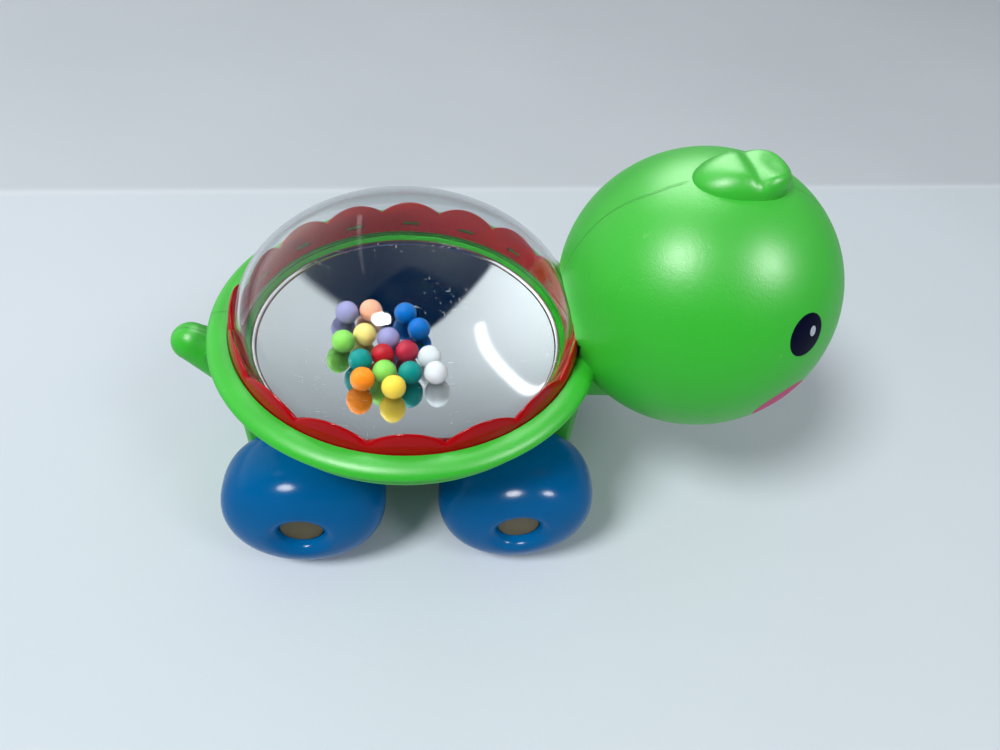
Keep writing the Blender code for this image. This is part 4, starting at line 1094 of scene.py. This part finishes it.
# %% Balls
BALL_COLOURS = {
    "crimson": (164, 34, 56), "red": (172, 22, 34), "lavender": (150, 148, 194), "white": (226, 229, 231),
    "blue": (0, 96, 172), "teal": (0, 134, 128), "light_green": (128, 200, 84), "cream": (244, 224, 130),
    "yellow": (246, 212, 72), "peach": (250, 176, 142), "orange": (250, 140, 26),
}
BALL_ORDER = (
    "crimson", "lavender", "red", "white", "blue", "teal", "light_green", "white",
    "cream", "teal", "blue", "yellow", "peach", "orange", "light_green", "lavender",
)
BALL_RADIUS = 4.0 * MM
BALL_STEPS = (48, 32)
RIDGE = 1.012
TUMBLE_X = 2.4
TUMBLE_Y = 1.7


def ball_finish(name, tint):
    """A glossy bead plastic with slow changes of colour."""
    material, shader, place = start_finish("ball_" + name)
    cloud = place.noise(180.0, 2.0)
    feed(shader, Base_Color=cloud.mix(deeper(tint, 0.86), srgb(*tint)), Roughness=0.20 + cloud * 0.1)
    feed(shader, Normal=place.noise(900.0, 2.0).bump(0.03 * MM, 0.3))
    return material


beads = {name: ball_finish(name, tint) for name, tint in BALL_COLOURS.items()}
for number, colour in enumerate(BALL_ORDER, 1):
    node = f"ball_{number:02d}"
    bm = bmesh.new()
    bmesh.ops.create_uvsphere(bm, u_segments=BALL_STEPS[0], v_segments=BALL_STEPS[1], radius=BALL_RADIUS)
    for vert in bm.verts:
        if abs(vert.co.z) < MERGE:
            vert.co *= RIDGE
    tumble = Matrix.Rotation(TUMBLE_X * number, 4, "X") @ Matrix.Rotation(TUMBLE_Y * number, 4, "Y")
    bmesh.ops.transform(bm, matrix=Matrix.Translation(middle(node)) @ tumble, verts=bm.verts)
    finish_piece(f"bead_{number:02d}", bm, beads[colour], node, [node], "ball_" + colour, 60)

# %% [markdown]
# ## The printed face
# The eyes and cheeks are printed on the head: a dark navy disc with a white glint, and a pink cheek below
# it. Each is a thin lens spun round the line out of the head's middle, so that it lies on the ball as paint
# does.

# %% Face paint
def paint(name, tint, roughness):
    """Smooth printed ink with a faint mottle."""
    material, shader, place = start_finish(name)
    cloud = place.noise(500.0, 2.0)
    feed(shader, Base_Color=cloud.mix(deeper(tint, 0.8), srgb(*tint)), Roughness=roughness + cloud * 0.1)
    feed(shader, Specular_IOR_Level=0.03)
    return material


INKS = {
    "eye": paint("eye_navy_ink", (6, 9, 40), 0.3),
    "glint": paint("eye_white_ink", (196, 202, 216), 0.3),
    "cheek": paint("cheek_pink_ink", (214, 92, 138), 0.45),
}
DISC_RINGS = 16
DISC_STEPS = 72
DISC_BACK = 0.96 * HEAD_RADIUS
DISC_SPLIT = 0.985 * HEAD_RADIUS
INK_ROOT = 0.15 * MM
# Name, azimuth and elevation on the head in degrees, half width, half height, and how proud the ink stands.
FACE = (
    ("eye", -63.3, 25.4, 6.2 * MM, 6.5 * MM, 0.08 * MM),
    ("glint", -60.2, 26.1, 1.1 * MM, 1.6 * MM, 0.14 * MM),
    ("cheek", -60.2, -12.0, 9.2 * MM, 8.8 * MM, 0.08 * MM),
)
for ink, azimuth, elevation, half_width, half_height, proud in FACE:
    for side, way in (("right", 1), ("left", -1)):
        radii = [half_width * k / DISC_RINGS for k in range(DISC_RINGS + 1)]
        front = [(r, math.sqrt(HEAD_RADIUS ** 2 - r ** 2)) for r in radii]
        disc = turned([(0.0, DISC_BACK), (half_width, DISC_BACK)] + front[::-1], DISC_STEPS)
        stretch = Matrix.Diagonal((half_height / half_width, 1.0, 1.0, 1.0))
        up = Matrix.Rotation(math.radians(90 - elevation), 4, "Y")
        out = LEAN.to_4x4() @ Matrix.Rotation(math.radians(azimuth * way), 4, "Z")
        bmesh.ops.transform(disc, matrix=out @ up @ stretch, verts=disc.verts)
        for vert in disc.verts:
            depth = -INK_ROOT if vert.co.length < DISC_SPLIT else proud
            vert.co = HEAD + vert.co.normalized() * (HEAD_RADIUS + depth)
        bmesh.ops.recalc_face_normals(disc, faces=disc.faces)
        finish_piece(f"{ink}_{side}", disc, INKS[ink], "root", sharp=60)

# %% [markdown]
# ## The working parts
# The axles, the pin, the screws and the popping gear keep the shape that they have in the frame. Their
# finishes are turned steel, ivory gear plastic and, on the plunger, the chrome of the dish.

# %% Steel and ivory
material, shader, place = start_finish("bright_steel")
turning = place.noise(1200.0, 2.0, (1.0, 0.05, 1.0))
feed(shader, Base_Color=(0.60, 0.61, 0.63, 1.0), Metallic=1.0, Roughness=0.24 + turning * 0.2)
steel = material

material, shader, place = start_finish("gear_ivory_plastic")
cloud = place.noise(150.0, 3.0)
feed(shader, Base_Color=cloud.mix(srgb(222, 216, 198), srgb(238, 233, 218)), Roughness=0.4 + cloud * 0.1)
ivory = material

KEPT = {
    steel: ["front_axle", "rear_axle", "rocker_pin"] + sorted(SCREWS),
    ivory: ["star_cam", "popper_rocker"],
    chrome: ["popper_plunger"],
}
for finish, nodes in KEPT.items():
    for node in nodes:
        mesh = frame["nodes"][node].data
        mesh.materials.clear()
        mesh.materials.append(finish)
    print(finish.name, "on", nodes)
